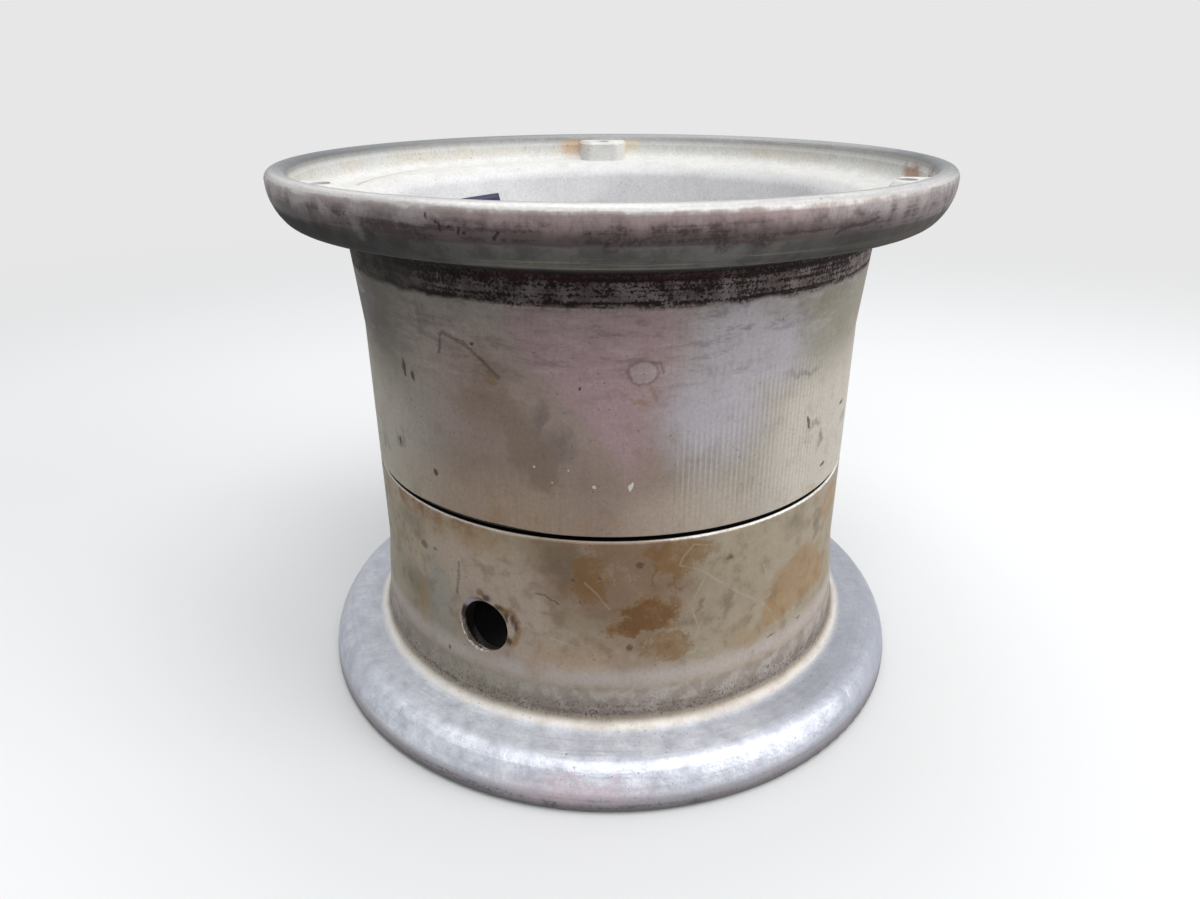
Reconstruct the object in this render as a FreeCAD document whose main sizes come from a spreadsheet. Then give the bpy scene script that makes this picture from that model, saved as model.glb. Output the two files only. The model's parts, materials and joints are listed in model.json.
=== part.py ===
import FreeCAD, Part
import math
import os
import Sketcher

# Two-piece light aircraft main wheel for a 6.00-6 tyre, without its tyre, tube and brake disc.
#
# The wheel stands on the flange of its short half. The axle axis is Z, the origin is the middle
# of the plane on which that flange stands, and +Z points towards the long half. Three through
# bolts clamp the two castings web to web. Each hub end holds a tapered roller bearing, and a
# felt grease seal between two steel rings behind a snap ring.
#
# Every half, bearing and seal is drawn from its own outer end, so that the same functions make
# the lower and the upper one: the upper pieces are turned over and hung from the top.

DIMENSIONS = {
    # rim section, the same in both halves, measured from the lip plane
    "lip_radius": 95.25,
    "lip_thickness": 5.6,
    "lip_round": 2.3,
    "curl_start": 2.84,
    "curl_width": 7.8,
    "curl_round": 6.0,
    "flange_depth": 13.94,
    "seat_radius": 76.26,
    "seat_fillet": 4.8,
    "seat_length": 24.7,
    "well_radius": 74.1,
    "lower_seam_relief": 0.2,
    "lower_seam_chamfer": 0.6,
    "upper_seam_relief": 1.2,
    "upper_seam_chamfer": 0.25,
    "seam_land_inset": 2.6,
    # inside of the rim
    "lip_wall_radius": 89.1,
    "lip_fillet": 5.0,
    "ledge_depth": 8.7,
    "ledge_round": 5.0,
    "throat_radius": 71.0,
    "well_wall_radius": 69.6,
    # the two halves
    "lower_length": 71.0,
    "upper_length": 85.8,
    "lower_hub_depth": 14.0,
    "upper_hub_depth": 24.8,
    # web, hub and the register that centres one half in the other
    "web_thickness": 7.0,
    "web_fillet": 5.0,
    "hub_radius": 36.8,
    "hub_root_radius": 39.0,
    "hub_round": 1.5,
    "hub_chamfer": 0.8,
    "hub_bore_radius": 24.5,
    "register_radius": 31.0,
    "register_height": 2.0,
    "register_clearance": 0.05,
    # ribs, bolt bosses, lip bosses and the valve hole
    "rib_width": 7.0,
    "rib_draft": 2.0,
    "rib_height": 14.0,
    "rib_inner_radius": 34.0,
    "rib_outer_radius": 72.0,
    "rib_count": 6,
    "bolt_count": 3,
    "bolt_circle_radius": 53.0,
    "bolt_turn": 30.0,
    "bolt_boss_radius": 11.5,
    "bolt_boss_height": 22.0,
    "bolt_boss_edge": 1.0,
    "bolt_boss_fillet": 3.0,
    "bolt_hole_radius": 4.95,
    "boss_root": 1.0,
    "lip_boss_turn": 58.0,
    "lip_boss_depth": 2.0,
    "lip_boss_edge": 1.0,
    "lip_boss_height": 7.0,
    "lip_boss_draft": 6.0,
    "lip_boss_width": 11.6,
    "lip_boss_splay": 21.0,
    "lip_boss_nose": 2.5,
    "lip_boss_inner": 80.3,
    "lip_boss_outer": 91.0,
    "lip_boss_count": 3,
    "lip_hole_radius": 2.6,
    "lip_hole_distance": 83.7,
    "lip_hole_length": 7.5,
    "valve_turn": -147.6,
    "valve_depth": 39.4,
    "valve_lean": 23.0,
    "valve_mouth_radius": 74.4,
    "valve_hole_radius": 7.3,
    "valve_cut_start": 8.0,
    "valve_cut_length": 18.0,
    # tapered roller bearing, measured from the back face of its cone
    "bearing_width": 15.875,
    "cup_radius": 29.565,
    "cup_width": 11.81,
    "cone_bore_radius": 15.875,
    "cone_width": 16.77,
    "cone_rib_radius": 22.9,
    "cone_rib_width": 2.55,
    "cone_nose_radius": 19.8,
    "cone_nose_start": 13.45,
    "bearing_edge": 0.8,
    "roller_count": 18,
    "roller_mid_radius": 3.2,
    "roller_length": 10.6,
    "roller_tilt": 12.6,
    "roller_taper": 1.9,
    "roller_pitch_radius": 23.0,
    "roller_mid_depth": 8.6,
    "roller_play": 0.03,
    "cage_start": 1.8,
    "cage_end": 15.2,
    "cage_offset": 0.5,
    "cage_thickness": 0.9,
    "cage_foot_radius": 20.7,
    "cage_pocket_length": 11.1,
    "cage_pocket_wide": 3.56,
    "cage_pocket_narrow": 3.24,
    # grease seal and snap ring, measured from the hub end inwards
    "snap_ring_inset": 2.5,
    "snap_ring_thickness": 1.5,
    "snap_groove_width": 1.6,
    "snap_groove_radius": 33.4,
    "snap_ring_radius": 33.1,
    "snap_ring_inner": 29.6,
    "snap_ring_sweep": 338.0,
    "snap_lug_radius": 2.6,
    "snap_lug_distance": 29.4,
    "snap_lug_turn": 6.6,
    "snap_lug_hole": 1.1,
    "seal_bore_radius": 31.4,
    "seal_ring_radius": 31.3,
    "seal_ring_inner": 22.0,
    "seal_ring_thickness": 0.9,
    "felt_inner": 19.0,
    "felt_radius": 31.3,
    "felt_thickness": 5.0,
    "seal_to_cone": 1.0,
    # three eighth inch through bolts, their nuts and washers
    "shank_radius": 4.7625,
    "bolt_stick_out": 3.0,
    "bolt_point": 1.0,
    "hex_flats": 14.29,
    "hex_corner_radius": 8.05,
    "hex_chamfer": 0.9,
    "hex_cut_radius": 12.0,
    "head_height": 5.95,
    "nut_height": 8.4,
    "nut_collar_height": 3.2,
    "nut_collar_radius": 6.6,
    "washer_radius": 7.94,
    "washer_hole_radius": 4.9,
    "washer_thickness": 1.6,
}

document = FreeCAD.newDocument("aircraft_wheel")
sheet = document.addObject("Spreadsheet::Sheet", "Sizes")
for row, (alias, number) in enumerate(DIMENSIONS.items(), start=1):
    sheet.set(f"A{row}", alias)
    sheet.set(f"B{row}", str(number))
    sheet.setAlias(f"B{row}", alias)
document.recompute()


class Size:
    """A length, angle or count known both as a number and as a formula on the sheet."""

    def __init__(self, value, formula=None):
        self.value = float(value)
        self.formula = formula or f"({self.value!r})"

    def _with(self, sign, other, value, swapped=False):
        first, second = (other, self) if swapped else (self, other)
        return Size(value, f"({first.formula} {sign} {second.formula})")

    def __add__(self, other):
        other = as_size(other)
        return self._with("+", other, self.value + other.value)

    def __sub__(self, other):
        other = as_size(other)
        return self._with("-", other, self.value - other.value)

    def __mul__(self, other):
        other = as_size(other)
        return self._with("*", other, self.value * other.value)

    def __truediv__(self, other):
        other = as_size(other)
        return self._with("/", other, self.value / other.value)

    def __rsub__(self, other):
        other = as_size(other)
        return self._with("-", other, other.value - self.value, swapped=True)

    def __neg__(self):
        return 0 - self


def as_size(number):
    return number if isinstance(number, Size) else Size(number)


def dim(alias):
    return Size(DIMENSIONS[alias], f"Sizes.{alias}")


def trig(name, angle):
    """The sine, cosine or tangent of an angle in degrees."""
    return Size(getattr(math, name)(math.radians(angle.value)), f"{name}({angle.formula} * 1 deg)")


ORIGIN = (-1, 1)
HORIZONTAL_AXIS = -1
VERTICAL_AXIS = -2


def new_body(label):
    body = document.addObject("PartDesign::Body", label)
    body.Label = label
    return body


def sketch_on(body, role, name, height=0, turn=0):
    """A sketch on one of the body's own planes, lifted off it and turned about its normal."""
    sketch = body.newObject("Sketcher::SketchObject", f"{body.Name}_{name}")
    plane = next(item for item in body.Origin.OriginFeatures if item.Role == role)
    sketch.AttachmentSupport = [(plane, "")]
    sketch.MapMode = "FlatFace"
    sketch.setExpression("AttachmentOffset.Base.z", as_size(height).formula)
    sketch.setExpression("AttachmentOffset.Rotation.Angle", as_size(turn).formula)
    return sketch


def constrain(sketch, kind, *where, size):
    index = sketch.addConstraint(Sketcher.Constraint(kind, *where, size.value))
    sketch.setExpression(f"Constraints[{index}]", size.formula)


def place_point(sketch, edge, end, across, up):
    """Hold one end of an edge at its distances from the sketch's origin."""
    for kind, size, axis in (("DistanceX", across, VERTICAL_AXIS), ("DistanceY", up, HORIZONTAL_AXIS)):
        if size.value == 0:
            sketch.addConstraint(Sketcher.Constraint("PointOnObject", edge, end, axis))
        else:
            constrain(sketch, kind, *ORIGIN, edge, end, size=size)


def arc_between(start, finish, bend):
    """The short arc from start to finish; a positive bend turns left, a negative one right."""
    chord = finish - start
    reach = math.sqrt(max(bend * bend - chord.Length ** 2 / 4, 0))
    left = FreeCAD.Vector(-chord.y, chord.x, 0).normalize()
    centre = (start + finish) / 2 + left * math.copysign(reach, bend)
    first, last = (start, finish) if bend > 0 else (finish, start)
    angles = [math.atan2(point.y - centre.y, point.x - centre.x) for point in (first, last)]
    return Part.ArcOfCircle(Part.Circle(centre, FreeCAD.Vector(0, 0, 1), abs(bend)), *angles)


def draw_outline(sketch, corners):
    """A closed outline through corners (across, up), in the order that keeps material on the left.

    A third value in a corner is the radius of the arc that leads from it to the next corner,
    and is negative where the arc is hollow."""
    corners = [tuple(as_size(value) for value in corner) for corner in corners]
    points = [FreeCAD.Vector(corner[0].value, corner[1].value, 0) for corner in corners]
    ends = []
    for number, corner in enumerate(corners):
        start, finish = points[number], points[(number + 1) % len(points)]
        if len(corner) == 2:
            edge = sketch.addGeometry(Part.LineSegment(start, finish), False)
            ends.append((edge, 1, 2))
        else:
            edge = sketch.addGeometry(arc_between(start, finish, corner[2].value), False)
            ends.append((edge, 1, 2) if corner[2].value > 0 else (edge, 2, 1))
    for number, (edge, first, last) in enumerate(ends):
        after, after_first, after_last = ends[(number + 1) % len(ends)]
        sketch.addConstraint(Sketcher.Constraint("Coincident", edge, last, after, after_first))
    for (edge, first, last), corner in zip(ends, corners):
        place_point(sketch, edge, first, corner[0], corner[1])
        if len(corner) == 3:
            bend = corner[2] if corner[2].value > 0 else -corner[2]
            constrain(sketch, "Radius", edge, size=bend)


def draw_turning_axis(sketch, across):
    """An upright construction line to turn a profile about, and its name as an axis."""
    foot, head = FreeCAD.Vector(across.value, 0, 0), FreeCAD.Vector(across.value, 1, 0)
    edge = sketch.addGeometry(Part.LineSegment(foot, head), True)
    place_point(sketch, edge, 1, across, as_size(0))
    place_point(sketch, edge, 2, across, as_size(1))
    return "Axis0"


def draw_circle(sketch, radius, across=0, up=0):
    across, up = as_size(across), as_size(up)
    middle = FreeCAD.Vector(across.value, up.value, 0)
    circle = Part.Circle(middle, FreeCAD.Vector(0, 0, 1), radius.value)
    edge = sketch.addGeometry(circle, False)
    constrain(sketch, "Radius", edge, size=radius)
    place_point(sketch, edge, 3, across, up)


def draw_hexagon(sketch, flats):
    """A hexagon about the sketch's origin, with two corners on its horizontal axis."""
    corner_radius = flats / math.sqrt(3)
    middle = FreeCAD.Vector(0, 0, 0)
    guide = sketch.addGeometry(Part.Circle(middle, FreeCAD.Vector(0, 0, 1), corner_radius.value), True)
    constrain(sketch, "Radius", guide, size=corner_radius)
    sketch.addConstraint(Sketcher.Constraint("Coincident", guide, 3, *ORIGIN))
    turns = [math.radians(60 * side) for side in range(6)]
    points = [FreeCAD.Vector(math.cos(turn), math.sin(turn), 0) * corner_radius.value for turn in turns]
    sides = [sketch.addGeometry(Part.LineSegment(points[n], points[(n + 1) % 6]), False) for n in range(6)]
    for n, side in enumerate(sides):
        sketch.addConstraint(Sketcher.Constraint("Coincident", side, 2, sides[(n + 1) % 6], 1))
        sketch.addConstraint(Sketcher.Constraint("PointOnObject", side, 1, guide))
        if n:
            sketch.addConstraint(Sketcher.Constraint("Equal", sides[0], side))
    sketch.addConstraint(Sketcher.Constraint("PointOnObject", sides[0], 1, HORIZONTAL_AXIS))


def revolve(body, corners, name="section", angle=360):
    sketch = sketch_on(body, "XZ_Plane", name)
    draw_outline(sketch, corners)
    feature = body.newObject("PartDesign::Revolution", f"{body.Name}_{name}_turned")
    feature.Profile = sketch
    feature.ReferenceAxis = (sketch, ["V_Axis"])
    feature.setExpression("Angle", as_size(angle).formula)
    document.recompute()
    return feature


def pad(body, sketch, length):
    feature = body.newObject("PartDesign::Pad", f"{sketch.Name}_pad")
    feature.Profile = sketch
    feature.setExpression("Length", as_size(length).formula)
    document.recompute()
    return feature


def pocket(body, sketch, length):
    """Cut a sketch down against its normal, and make sure that it took something away."""
    before = body.Shape.Volume
    feature = body.newObject("PartDesign::Pocket", f"{sketch.Name}_pocket")
    feature.Profile = sketch
    feature.setExpression("Length", as_size(length).formula)
    document.recompute()
    if body.Shape.Volume > before - 1e-3:
        raise RuntimeError(f"{feature.Name} cuts nothing")
    return feature


def repeat_around(body, features, count):
    """Repeat features at equal steps around the body's Z axis."""
    pattern = body.newObject("PartDesign::PolarPattern", f"{features[-1].Name}_around")
    pattern.Originals = features
    axis = next(item for item in body.Origin.OriginFeatures if item.Role == "Z_Axis")
    pattern.Axis = (axis, [""])
    pattern.Angle = 360
    pattern.setExpression("Occurrences", count.formula)
    body.Tip = pattern
    document.recompute()
    return pattern


def overall_height():
    return DIMENSIONS["lower_length"] + DIMENSIONS["upper_length"]


def placed(side, depth=0.0, turn=0.0):
    """The place of a piece drawn from its outer end, at a depth behind that side's lip plane."""
    about_z = FreeCAD.Rotation(FreeCAD.Vector(0, 0, 1), turn)
    if side == "lower":
        return FreeCAD.Placement(FreeCAD.Vector(0, 0, depth), about_z)
    turned_over = FreeCAD.Rotation(FreeCAD.Vector(1, 0, 0), 180)
    return FreeCAD.Placement(FreeCAD.Vector(0, 0, overall_height() - depth), about_z * turned_over)


# ---------------------------------------------------------------------------------------------
# castings


def rim_outside(side, length):
    """From the crest of the lip over the flange and along the tyre seat to the seam.

    The flange curls over in two arcs, a large one on its side and a small one at its edge."""
    lip, depth = dim("lip_radius"), dim("flange_depth")
    small, start = dim("curl_round"), dim("curl_start")
    width, height = dim("curl_width"), dim("flange_depth") - dim("curl_start")
    large = (width * width + height * height - height * small * 2) / ((width - small) * 2)
    share = large / (large - small)
    large_centre = lip - large
    small_centre = lip - width, depth - small
    seam, chamfer = length - dim(f"{side}_seam_relief"), dim(f"{side}_seam_chamfer")
    land = dim("well_radius") - dim("seam_land_inset")
    return [
        (lip - dim("lip_round"), 0, dim("lip_round")),
        (lip, dim("lip_round")),
        (lip, start, large),
        (large_centre + (small_centre[0] - large_centre) * share,
         start + (small_centre[1] - start) * share, small),
        (lip - width, depth),
        (dim("seat_radius") + dim("seat_fillet"), depth, -dim("seat_fillet")),
        (dim("seat_radius"), depth + dim("seat_fillet")),
        (dim("well_radius"), depth + dim("seat_fillet") + dim("seat_length")),
        (dim("well_radius"), seam - chamfer),
        (dim("well_radius") - chamfer, seam),
        (land, seam),
        (land, length),
    ]


def register_face(side, length):
    """The lower half has a raised register, and the upper half the recess that it enters."""
    rise = dim("register_height")
    clearance = dim("register_clearance")
    if side == "lower":
        radius, level = dim("register_radius"), length + rise
    else:
        radius, level = dim("register_radius") + clearance, length - rise - clearance * 2
    return [(radius, length), (radius, level), (dim("hub_bore_radius"), level)]


def seal_seat_depth(hub_depth):
    stack = dim("seal_ring_thickness") * 2 + dim("felt_thickness")
    return hub_depth + dim("snap_ring_inset") + dim("snap_ring_thickness") + stack


def cone_back_depth(hub_depth):
    return seal_seat_depth(hub_depth) + dim("seal_to_cone")


def hub_inside(hub_depth):
    """From the split plane through the bearing seat, the seal bore and its groove to the hub end."""
    shoulder = cone_back_depth(hub_depth) + dim("bearing_width")
    seal_seat = seal_seat_depth(hub_depth)
    groove = hub_depth + dim("snap_ring_inset")
    bore, chamfer = dim("seal_bore_radius"), dim("hub_chamfer")
    return [
        (dim("hub_bore_radius"), shoulder),
        (dim("cup_radius"), shoulder),
        (dim("cup_radius"), seal_seat),
        (bore, seal_seat),
        (bore, groove + dim("snap_groove_width")),
        (dim("snap_groove_radius"), groove + dim("snap_groove_width")),
        (dim("snap_groove_radius"), groove),
        (bore, groove),
        (bore, hub_depth + chamfer),
        (bore + chamfer, hub_depth),
    ]


def hollow_side(length, hub_depth):
    """From the hub end over the web and up the inside of the rim to the lip."""
    web, fillet = length - dim("web_thickness"), dim("web_fillet")
    hub, root = dim("hub_radius"), dim("hub_root_radius")
    wall, throat = dim("well_wall_radius"), dim("throat_radius")
    ledge, lip_wall = dim("ledge_depth"), dim("lip_wall_radius")
    lip_inside = dim("lip_radius") - dim("lip_thickness")
    return [
        (hub - dim("hub_round"), hub_depth, dim("hub_round")),
        (hub, hub_depth + dim("hub_round")),
        (root, web - fillet, -fillet),
        (root + fillet, web),
        (wall - fillet, web, -fillet),
        (wall, web - fillet),
        (throat, ledge + dim("ledge_round"), dim("ledge_round")),
        (throat + dim("ledge_round"), ledge),
        (lip_wall - dim("lip_fillet"), ledge, -dim("lip_fillet")),
        (lip_wall, ledge - dim("lip_fillet")),
        (lip_inside, dim("lip_round"), dim("lip_round")),
        (lip_inside + dim("lip_round"), 0),
    ]


def add_ribs(body, length):
    sketch = sketch_on(body, "XY_Plane", "rib", height=length - dim("rib_height"))
    half = dim("rib_width") / 2
    draw_outline(sketch, [
        (dim("rib_inner_radius"), -half),
        (dim("rib_outer_radius"), -half),
        (dim("rib_outer_radius"), half),
        (dim("rib_inner_radius"), half),
    ])
    rib = pad(body, sketch, dim("rib_height") - dim("web_thickness") + dim("boss_root"))
    rib.setExpression("TaperAngle", dim("rib_draft").formula)
    document.recompute()
    repeat_around(body, [rib], dim("rib_count"))


def add_bolt_bosses(body, length):
    middle, radius = dim("bolt_circle_radius"), dim("bolt_boss_radius")
    top, web = length - dim("bolt_boss_height"), length - dim("web_thickness")
    edge, fillet, root = dim("bolt_boss_edge"), dim("bolt_boss_fillet"), dim("boss_root")
    boss = sketch_on(body, "XZ_Plane", "boss")
    draw_outline(boss, [
        (middle, top),
        (middle + radius - edge, top, edge),
        (middle + radius, top + edge),
        (middle + radius, web - fillet, -fillet),
        (middle + radius + fillet, web),
        (middle + radius + fillet, web + root),
        (middle, web + root),
    ])
    turned = body.newObject("PartDesign::Revolution", f"{body.Name}_boss_turned")
    turned.Profile = boss
    turned.ReferenceAxis = (boss, [draw_turning_axis(boss, middle)])
    turned.Angle = 360
    document.recompute()
    repeat_around(body, [turned], dim("bolt_count"))
    hole = sketch_on(body, "XY_Plane", "bolt_hole", height=length + dim("boss_root"))
    draw_circle(hole, dim("bolt_hole_radius"), dim("bolt_circle_radius"))
    hole_pocket = pocket(body, hole, dim("bolt_boss_height") + dim("boss_root") * 2)
    repeat_around(body, [hole_pocket], dim("bolt_count"))


def draw_tongue(sketch):
    """A tongue that narrows from the lip wall to a nose with round corners."""
    half, splay, nose = dim("lip_boss_width") / 2, dim("lip_boss_splay"), dim("lip_boss_nose")
    inner, outer = dim("lip_boss_inner"), dim("lip_boss_outer")
    root = half + trig("tan", splay) * (outer - inner)
    setback = nose * trig("tan", (90 - splay) / 2)
    flank = inner + setback * trig("cos", splay), half + setback * trig("sin", splay)
    draw_outline(sketch, [
        (outer, -root),
        (outer, root),
        (*flank, nose),
        (inner, half - setback),
        (inner, setback - half, nose),
        (flank[0], -flank[1]),
    ])


def add_lip_bosses(body):
    """Three tongues inside the lip, each with a tapped hole for a screw of the hub cover."""
    edge, turn = dim("lip_boss_edge"), dim("lip_boss_turn")
    shoulder = dim("lip_boss_depth") + edge
    tongue = sketch_on(body, "XY_Plane", "tongue", shoulder, turn)
    draw_tongue(tongue)
    stem = pad(body, tongue, dim("lip_boss_height"))
    stem.setExpression("TaperAngle", dim("lip_boss_draft").formula)
    top = sketch_on(body, "XY_Plane", "crown", shoulder, turn)
    draw_tongue(top)
    crown = pad(body, top, edge)
    crown.Reversed = True
    crown.TaperAngle = -45
    document.recompute()
    repeat_around(body, [stem, crown], dim("lip_boss_count"))
    bottom = dim("lip_boss_depth") + dim("lip_hole_length")
    hole = sketch_on(body, "XY_Plane", "screw_hole", bottom, turn)
    draw_circle(hole, dim("lip_hole_radius"), dim("lip_hole_distance"))
    hole_pocket = pocket(body, hole, dim("lip_hole_length") + dim("boss_root"))
    repeat_around(body, [hole_pocket], dim("lip_boss_count"))


def add_valve_hole(body):
    """A hole through the rim wall for the stem of the inner tube, which leaves by the open side.

    Its axis leans, so that it falls towards the hollow of the casting."""
    upright, across = FreeCAD.Vector(0, 1, 0), FreeCAD.Vector(1, 0, 0)
    turn = FreeCAD.Rotation(upright, DIMENSIONS["valve_turn"] + 90)
    outwards = turn * FreeCAD.Rotation(across, -DIMENSIONS["valve_lean"])
    mouth = FreeCAD.Vector(0, DIMENSIONS["valve_depth"], DIMENSIONS["valve_mouth_radius"])
    start = turn.multVec(mouth) + outwards.multVec(FreeCAD.Vector(0, 0, DIMENSIONS["valve_cut_start"]))
    sketch = body.newObject("Sketcher::SketchObject", f"{body.Name}_valve")
    plane = next(item for item in body.Origin.OriginFeatures if item.Role == "XZ_Plane")
    sketch.AttachmentSupport = [(plane, "")]
    sketch.MapMode = "FlatFace"
    sketch.AttachmentOffset = FreeCAD.Placement(start, outwards)
    draw_circle(sketch, dim("valve_hole_radius"))
    pocket(body, sketch, dim("valve_cut_length"))


def make_wheel_half(side):
    length, hub_depth = dim(f"{side}_length"), dim(f"{side}_hub_depth")
    body = new_body(f"{side}_wheel_half")
    revolve(body, rim_outside(side, length) + register_face(side, length)
            + hub_inside(hub_depth) + hollow_side(length, hub_depth))
    add_ribs(body, length)
    add_bolt_bosses(body, length)
    if side == "lower":
        add_valve_hole(body)
    else:
        add_lip_bosses(body)
    body.Placement = placed(side, turn=DIMENSIONS["bolt_turn"])
    return body


# ---------------------------------------------------------------------------------------------
# bearings


def raceway(depth, side):
    """Radius of the cup's (+1) or the cone's (-1) raceway at a depth behind the cone's back face."""
    tilt, taper, mid = dim("roller_tilt"), dim("roller_taper"), dim("roller_mid_radius")
    slope = trig("tan", tilt + taper * side)
    radius = dim("roller_pitch_radius") + trig("cos", tilt) * mid * side
    level = dim("roller_mid_depth") + trig("sin", tilt) * mid * side
    return radius + dim("roller_play") * side - slope * (depth - level)


def pitch_line(depth):
    """Radius of the rollers' middle line at a depth behind the cone's back face."""
    return dim("roller_pitch_radius") - trig("tan", dim("roller_tilt")) * (depth - dim("roller_mid_depth"))


def make_bearing_cup(side):
    body = new_body(f"{side}_bearing_cup")
    near, far = dim("bearing_width") - dim("cup_width"), dim("bearing_width")
    outside, edge = dim("cup_radius"), dim("bearing_edge")
    revolve(body, [
        (raceway(near, 1), near),
        (outside - edge, near),
        (outside, near + edge),
        (outside, far - edge),
        (outside - edge, far),
        (raceway(far, 1), far),
    ])
    return body


def make_bearing_cone(side):
    """Inner ring: a thick rib at its back face, the raceway, and a low rib at its nose."""
    body = new_body(f"{side}_bearing_cone")
    bore, edge, width = dim("cone_bore_radius"), dim("bearing_edge"), dim("cone_width")
    rib, rib_width = dim("cone_rib_radius"), dim("cone_rib_width")
    nose, nose_start = dim("cone_nose_radius"), dim("cone_nose_start")
    lean = trig("tan", dim("roller_tilt"))
    race_start, race_end = raceway(rib_width, -1), raceway(nose_start, -1)
    revolve(body, [
        (bore + edge, 0),
        (rib - edge / 2, 0),
        (rib, edge / 2),
        (rib, rib_width + lean * (rib - race_start)),
        (race_start, rib_width),
        (race_end, nose_start - lean * (nose - race_end)),
        (nose, nose_start),
        (nose, width - edge / 2),
        (nose - edge / 2, width),
        (bore + edge, width),
        (bore, width - edge),
        (bore, edge),
    ])
    return body


def make_roller_cage(side):
    """A pressed steel cone with one window for each roller and a foot at its small end."""
    body = new_body(f"{side}_roller_cage")
    start, end, wall = dim("cage_start"), dim("cage_end"), dim("cage_thickness")
    inner_start = pitch_line(start) + dim("cage_offset")
    inner_end = pitch_line(end - wall) + dim("cage_offset")
    revolve(body, [
        (inner_start, start),
        (inner_start + wall, start),
        (pitch_line(end) + dim("cage_offset") + wall, end),
        (dim("cage_foot_radius"), end),
        (dim("cage_foot_radius"), end - wall),
        (inner_end, end - wall),
    ])
    near = dim("roller_mid_depth") - dim("cage_pocket_length") / 2
    far = near + dim("cage_pocket_length")
    wide, narrow = dim("cage_pocket_wide"), dim("cage_pocket_narrow")
    window = sketch_on(body, "XZ_Plane", "window", height=dim("cup_radius"))
    draw_outline(window, [(-wide, near), (wide, near), (narrow, far), (-narrow, far)])
    cut = pocket(body, window, dim("cup_radius") - dim("cone_nose_radius"))
    repeat_around(body, [cut], dim("roller_count"))
    return body


def make_rollers(side):
    """Tapered rollers leaning towards the split plane, all alike, as one group."""
    lean = math.radians(DIMENSIONS["roller_tilt"])
    half, taper = dim("roller_length") / 2, trig("tan", dim("roller_taper"))
    count = DIMENSIONS["roller_count"]
    base_radius = DIMENSIONS["roller_pitch_radius"] + half.value * math.sin(lean)
    base_depth = DIMENSIONS["roller_mid_depth"] - half.value * math.cos(lean)
    rollers = []
    for number in range(count):
        roller = document.addObject("Part::Cone", f"{side}_roller_{number + 1}")
        roller.setExpression("Radius1", (dim("roller_mid_radius") + half * taper).formula)
        roller.setExpression("Radius2", (dim("roller_mid_radius") - half * taper).formula)
        roller.setExpression("Height", dim("roller_length").formula)
        # the first roller lies behind the cage's first window, which looks along -Y
        around = FreeCAD.Rotation(FreeCAD.Vector(0, 0, 1), 360.0 * number / count - 90.0)
        tipped = FreeCAD.Rotation(FreeCAD.Vector(0, 1, 0), -DIMENSIONS["roller_tilt"])
        foot = around.multVec(FreeCAD.Vector(base_radius, 0, base_depth))
        roller.Placement = FreeCAD.Placement(foot, around * tipped)
        rollers.append(roller)
    group = document.addObject("Part::Compound", f"{side}_rollers")
    group.Label = f"{side}_rollers"
    group.Links = rollers
    return group


def make_bearing(side):
    depth = cone_back_depth(dim(f"{side}_hub_depth")).value
    pieces = [make(side) for make in (make_bearing_cup, make_bearing_cone, make_roller_cage, make_rollers)]
    for piece in pieces:
        piece.Placement = placed(side, depth)
    return pieces


# ---------------------------------------------------------------------------------------------
# grease seals and snap rings


def make_ring(label, inner, outer, thickness):
    body = new_body(label)
    revolve(body, [(inner, 0), (outer, 0), (outer, thickness), (inner, thickness)])
    return body


def make_snap_ring(side):
    """An open ring whose two ends have a lug with a hole for the pliers."""
    body = new_body(f"{side}_snap_ring")
    inner, outer, thick = dim("snap_ring_inner"), dim("snap_ring_radius"), dim("snap_ring_thickness")
    sweep = dim("snap_ring_sweep")
    ring = revolve(body, [(inner, 0), (outer, 0), (outer, thick), (inner, thick)], angle=sweep)
    ring.Midplane = True
    for name, sign in (("left", 1), ("right", -1)):
        turn = dim("snap_lug_turn") + (360 - sweep) / 2
        lug = sketch_on(body, "XY_Plane", f"{name}_lug", turn=(180 - turn) * sign)
        draw_circle(lug, dim("snap_lug_radius"), dim("snap_lug_distance"))
        pad(body, lug, thick)
        hole = sketch_on(body, "XY_Plane", f"{name}_hole", height=thick, turn=(180 - turn) * sign)
        draw_circle(hole, dim("snap_lug_hole"), dim("snap_lug_distance"))
        pocket(body, hole, thick)
    return body


def make_seal(side):
    """From the hub end inwards: snap ring, outer seal ring, felt, inner seal ring."""
    ring, felt = dim("seal_ring_thickness"), dim("felt_thickness")
    seal_sizes = dim("seal_ring_inner"), dim("seal_ring_radius"), ring
    felt_sizes = dim("felt_inner"), dim("felt_radius"), felt
    depth = dim(f"{side}_hub_depth") + dim("snap_ring_inset")
    stack = [
        (make_snap_ring(side), dim("snap_ring_thickness")),
        (make_ring(f"{side}_outer_seal_ring", *seal_sizes), ring),
        (make_ring(f"{side}_felt_seal", *felt_sizes), felt),
        (make_ring(f"{side}_inner_seal_ring", *seal_sizes), ring),
    ]
    for piece, thickness in stack:
        piece.Placement = placed(side, depth.value)
        depth = depth + thickness
    return [piece for piece, thickness in stack]


# ---------------------------------------------------------------------------------------------
# through bolts


def cut_hexagon(body, height):
    """Cut the flats of a head or nut out of a turned blank."""
    flats = sketch_on(body, "XY_Plane", "flats", height=height)
    draw_circle(flats, dim("hex_cut_radius"))
    draw_hexagon(flats, dim("hex_flats"))
    pocket(body, flats, height)


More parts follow.
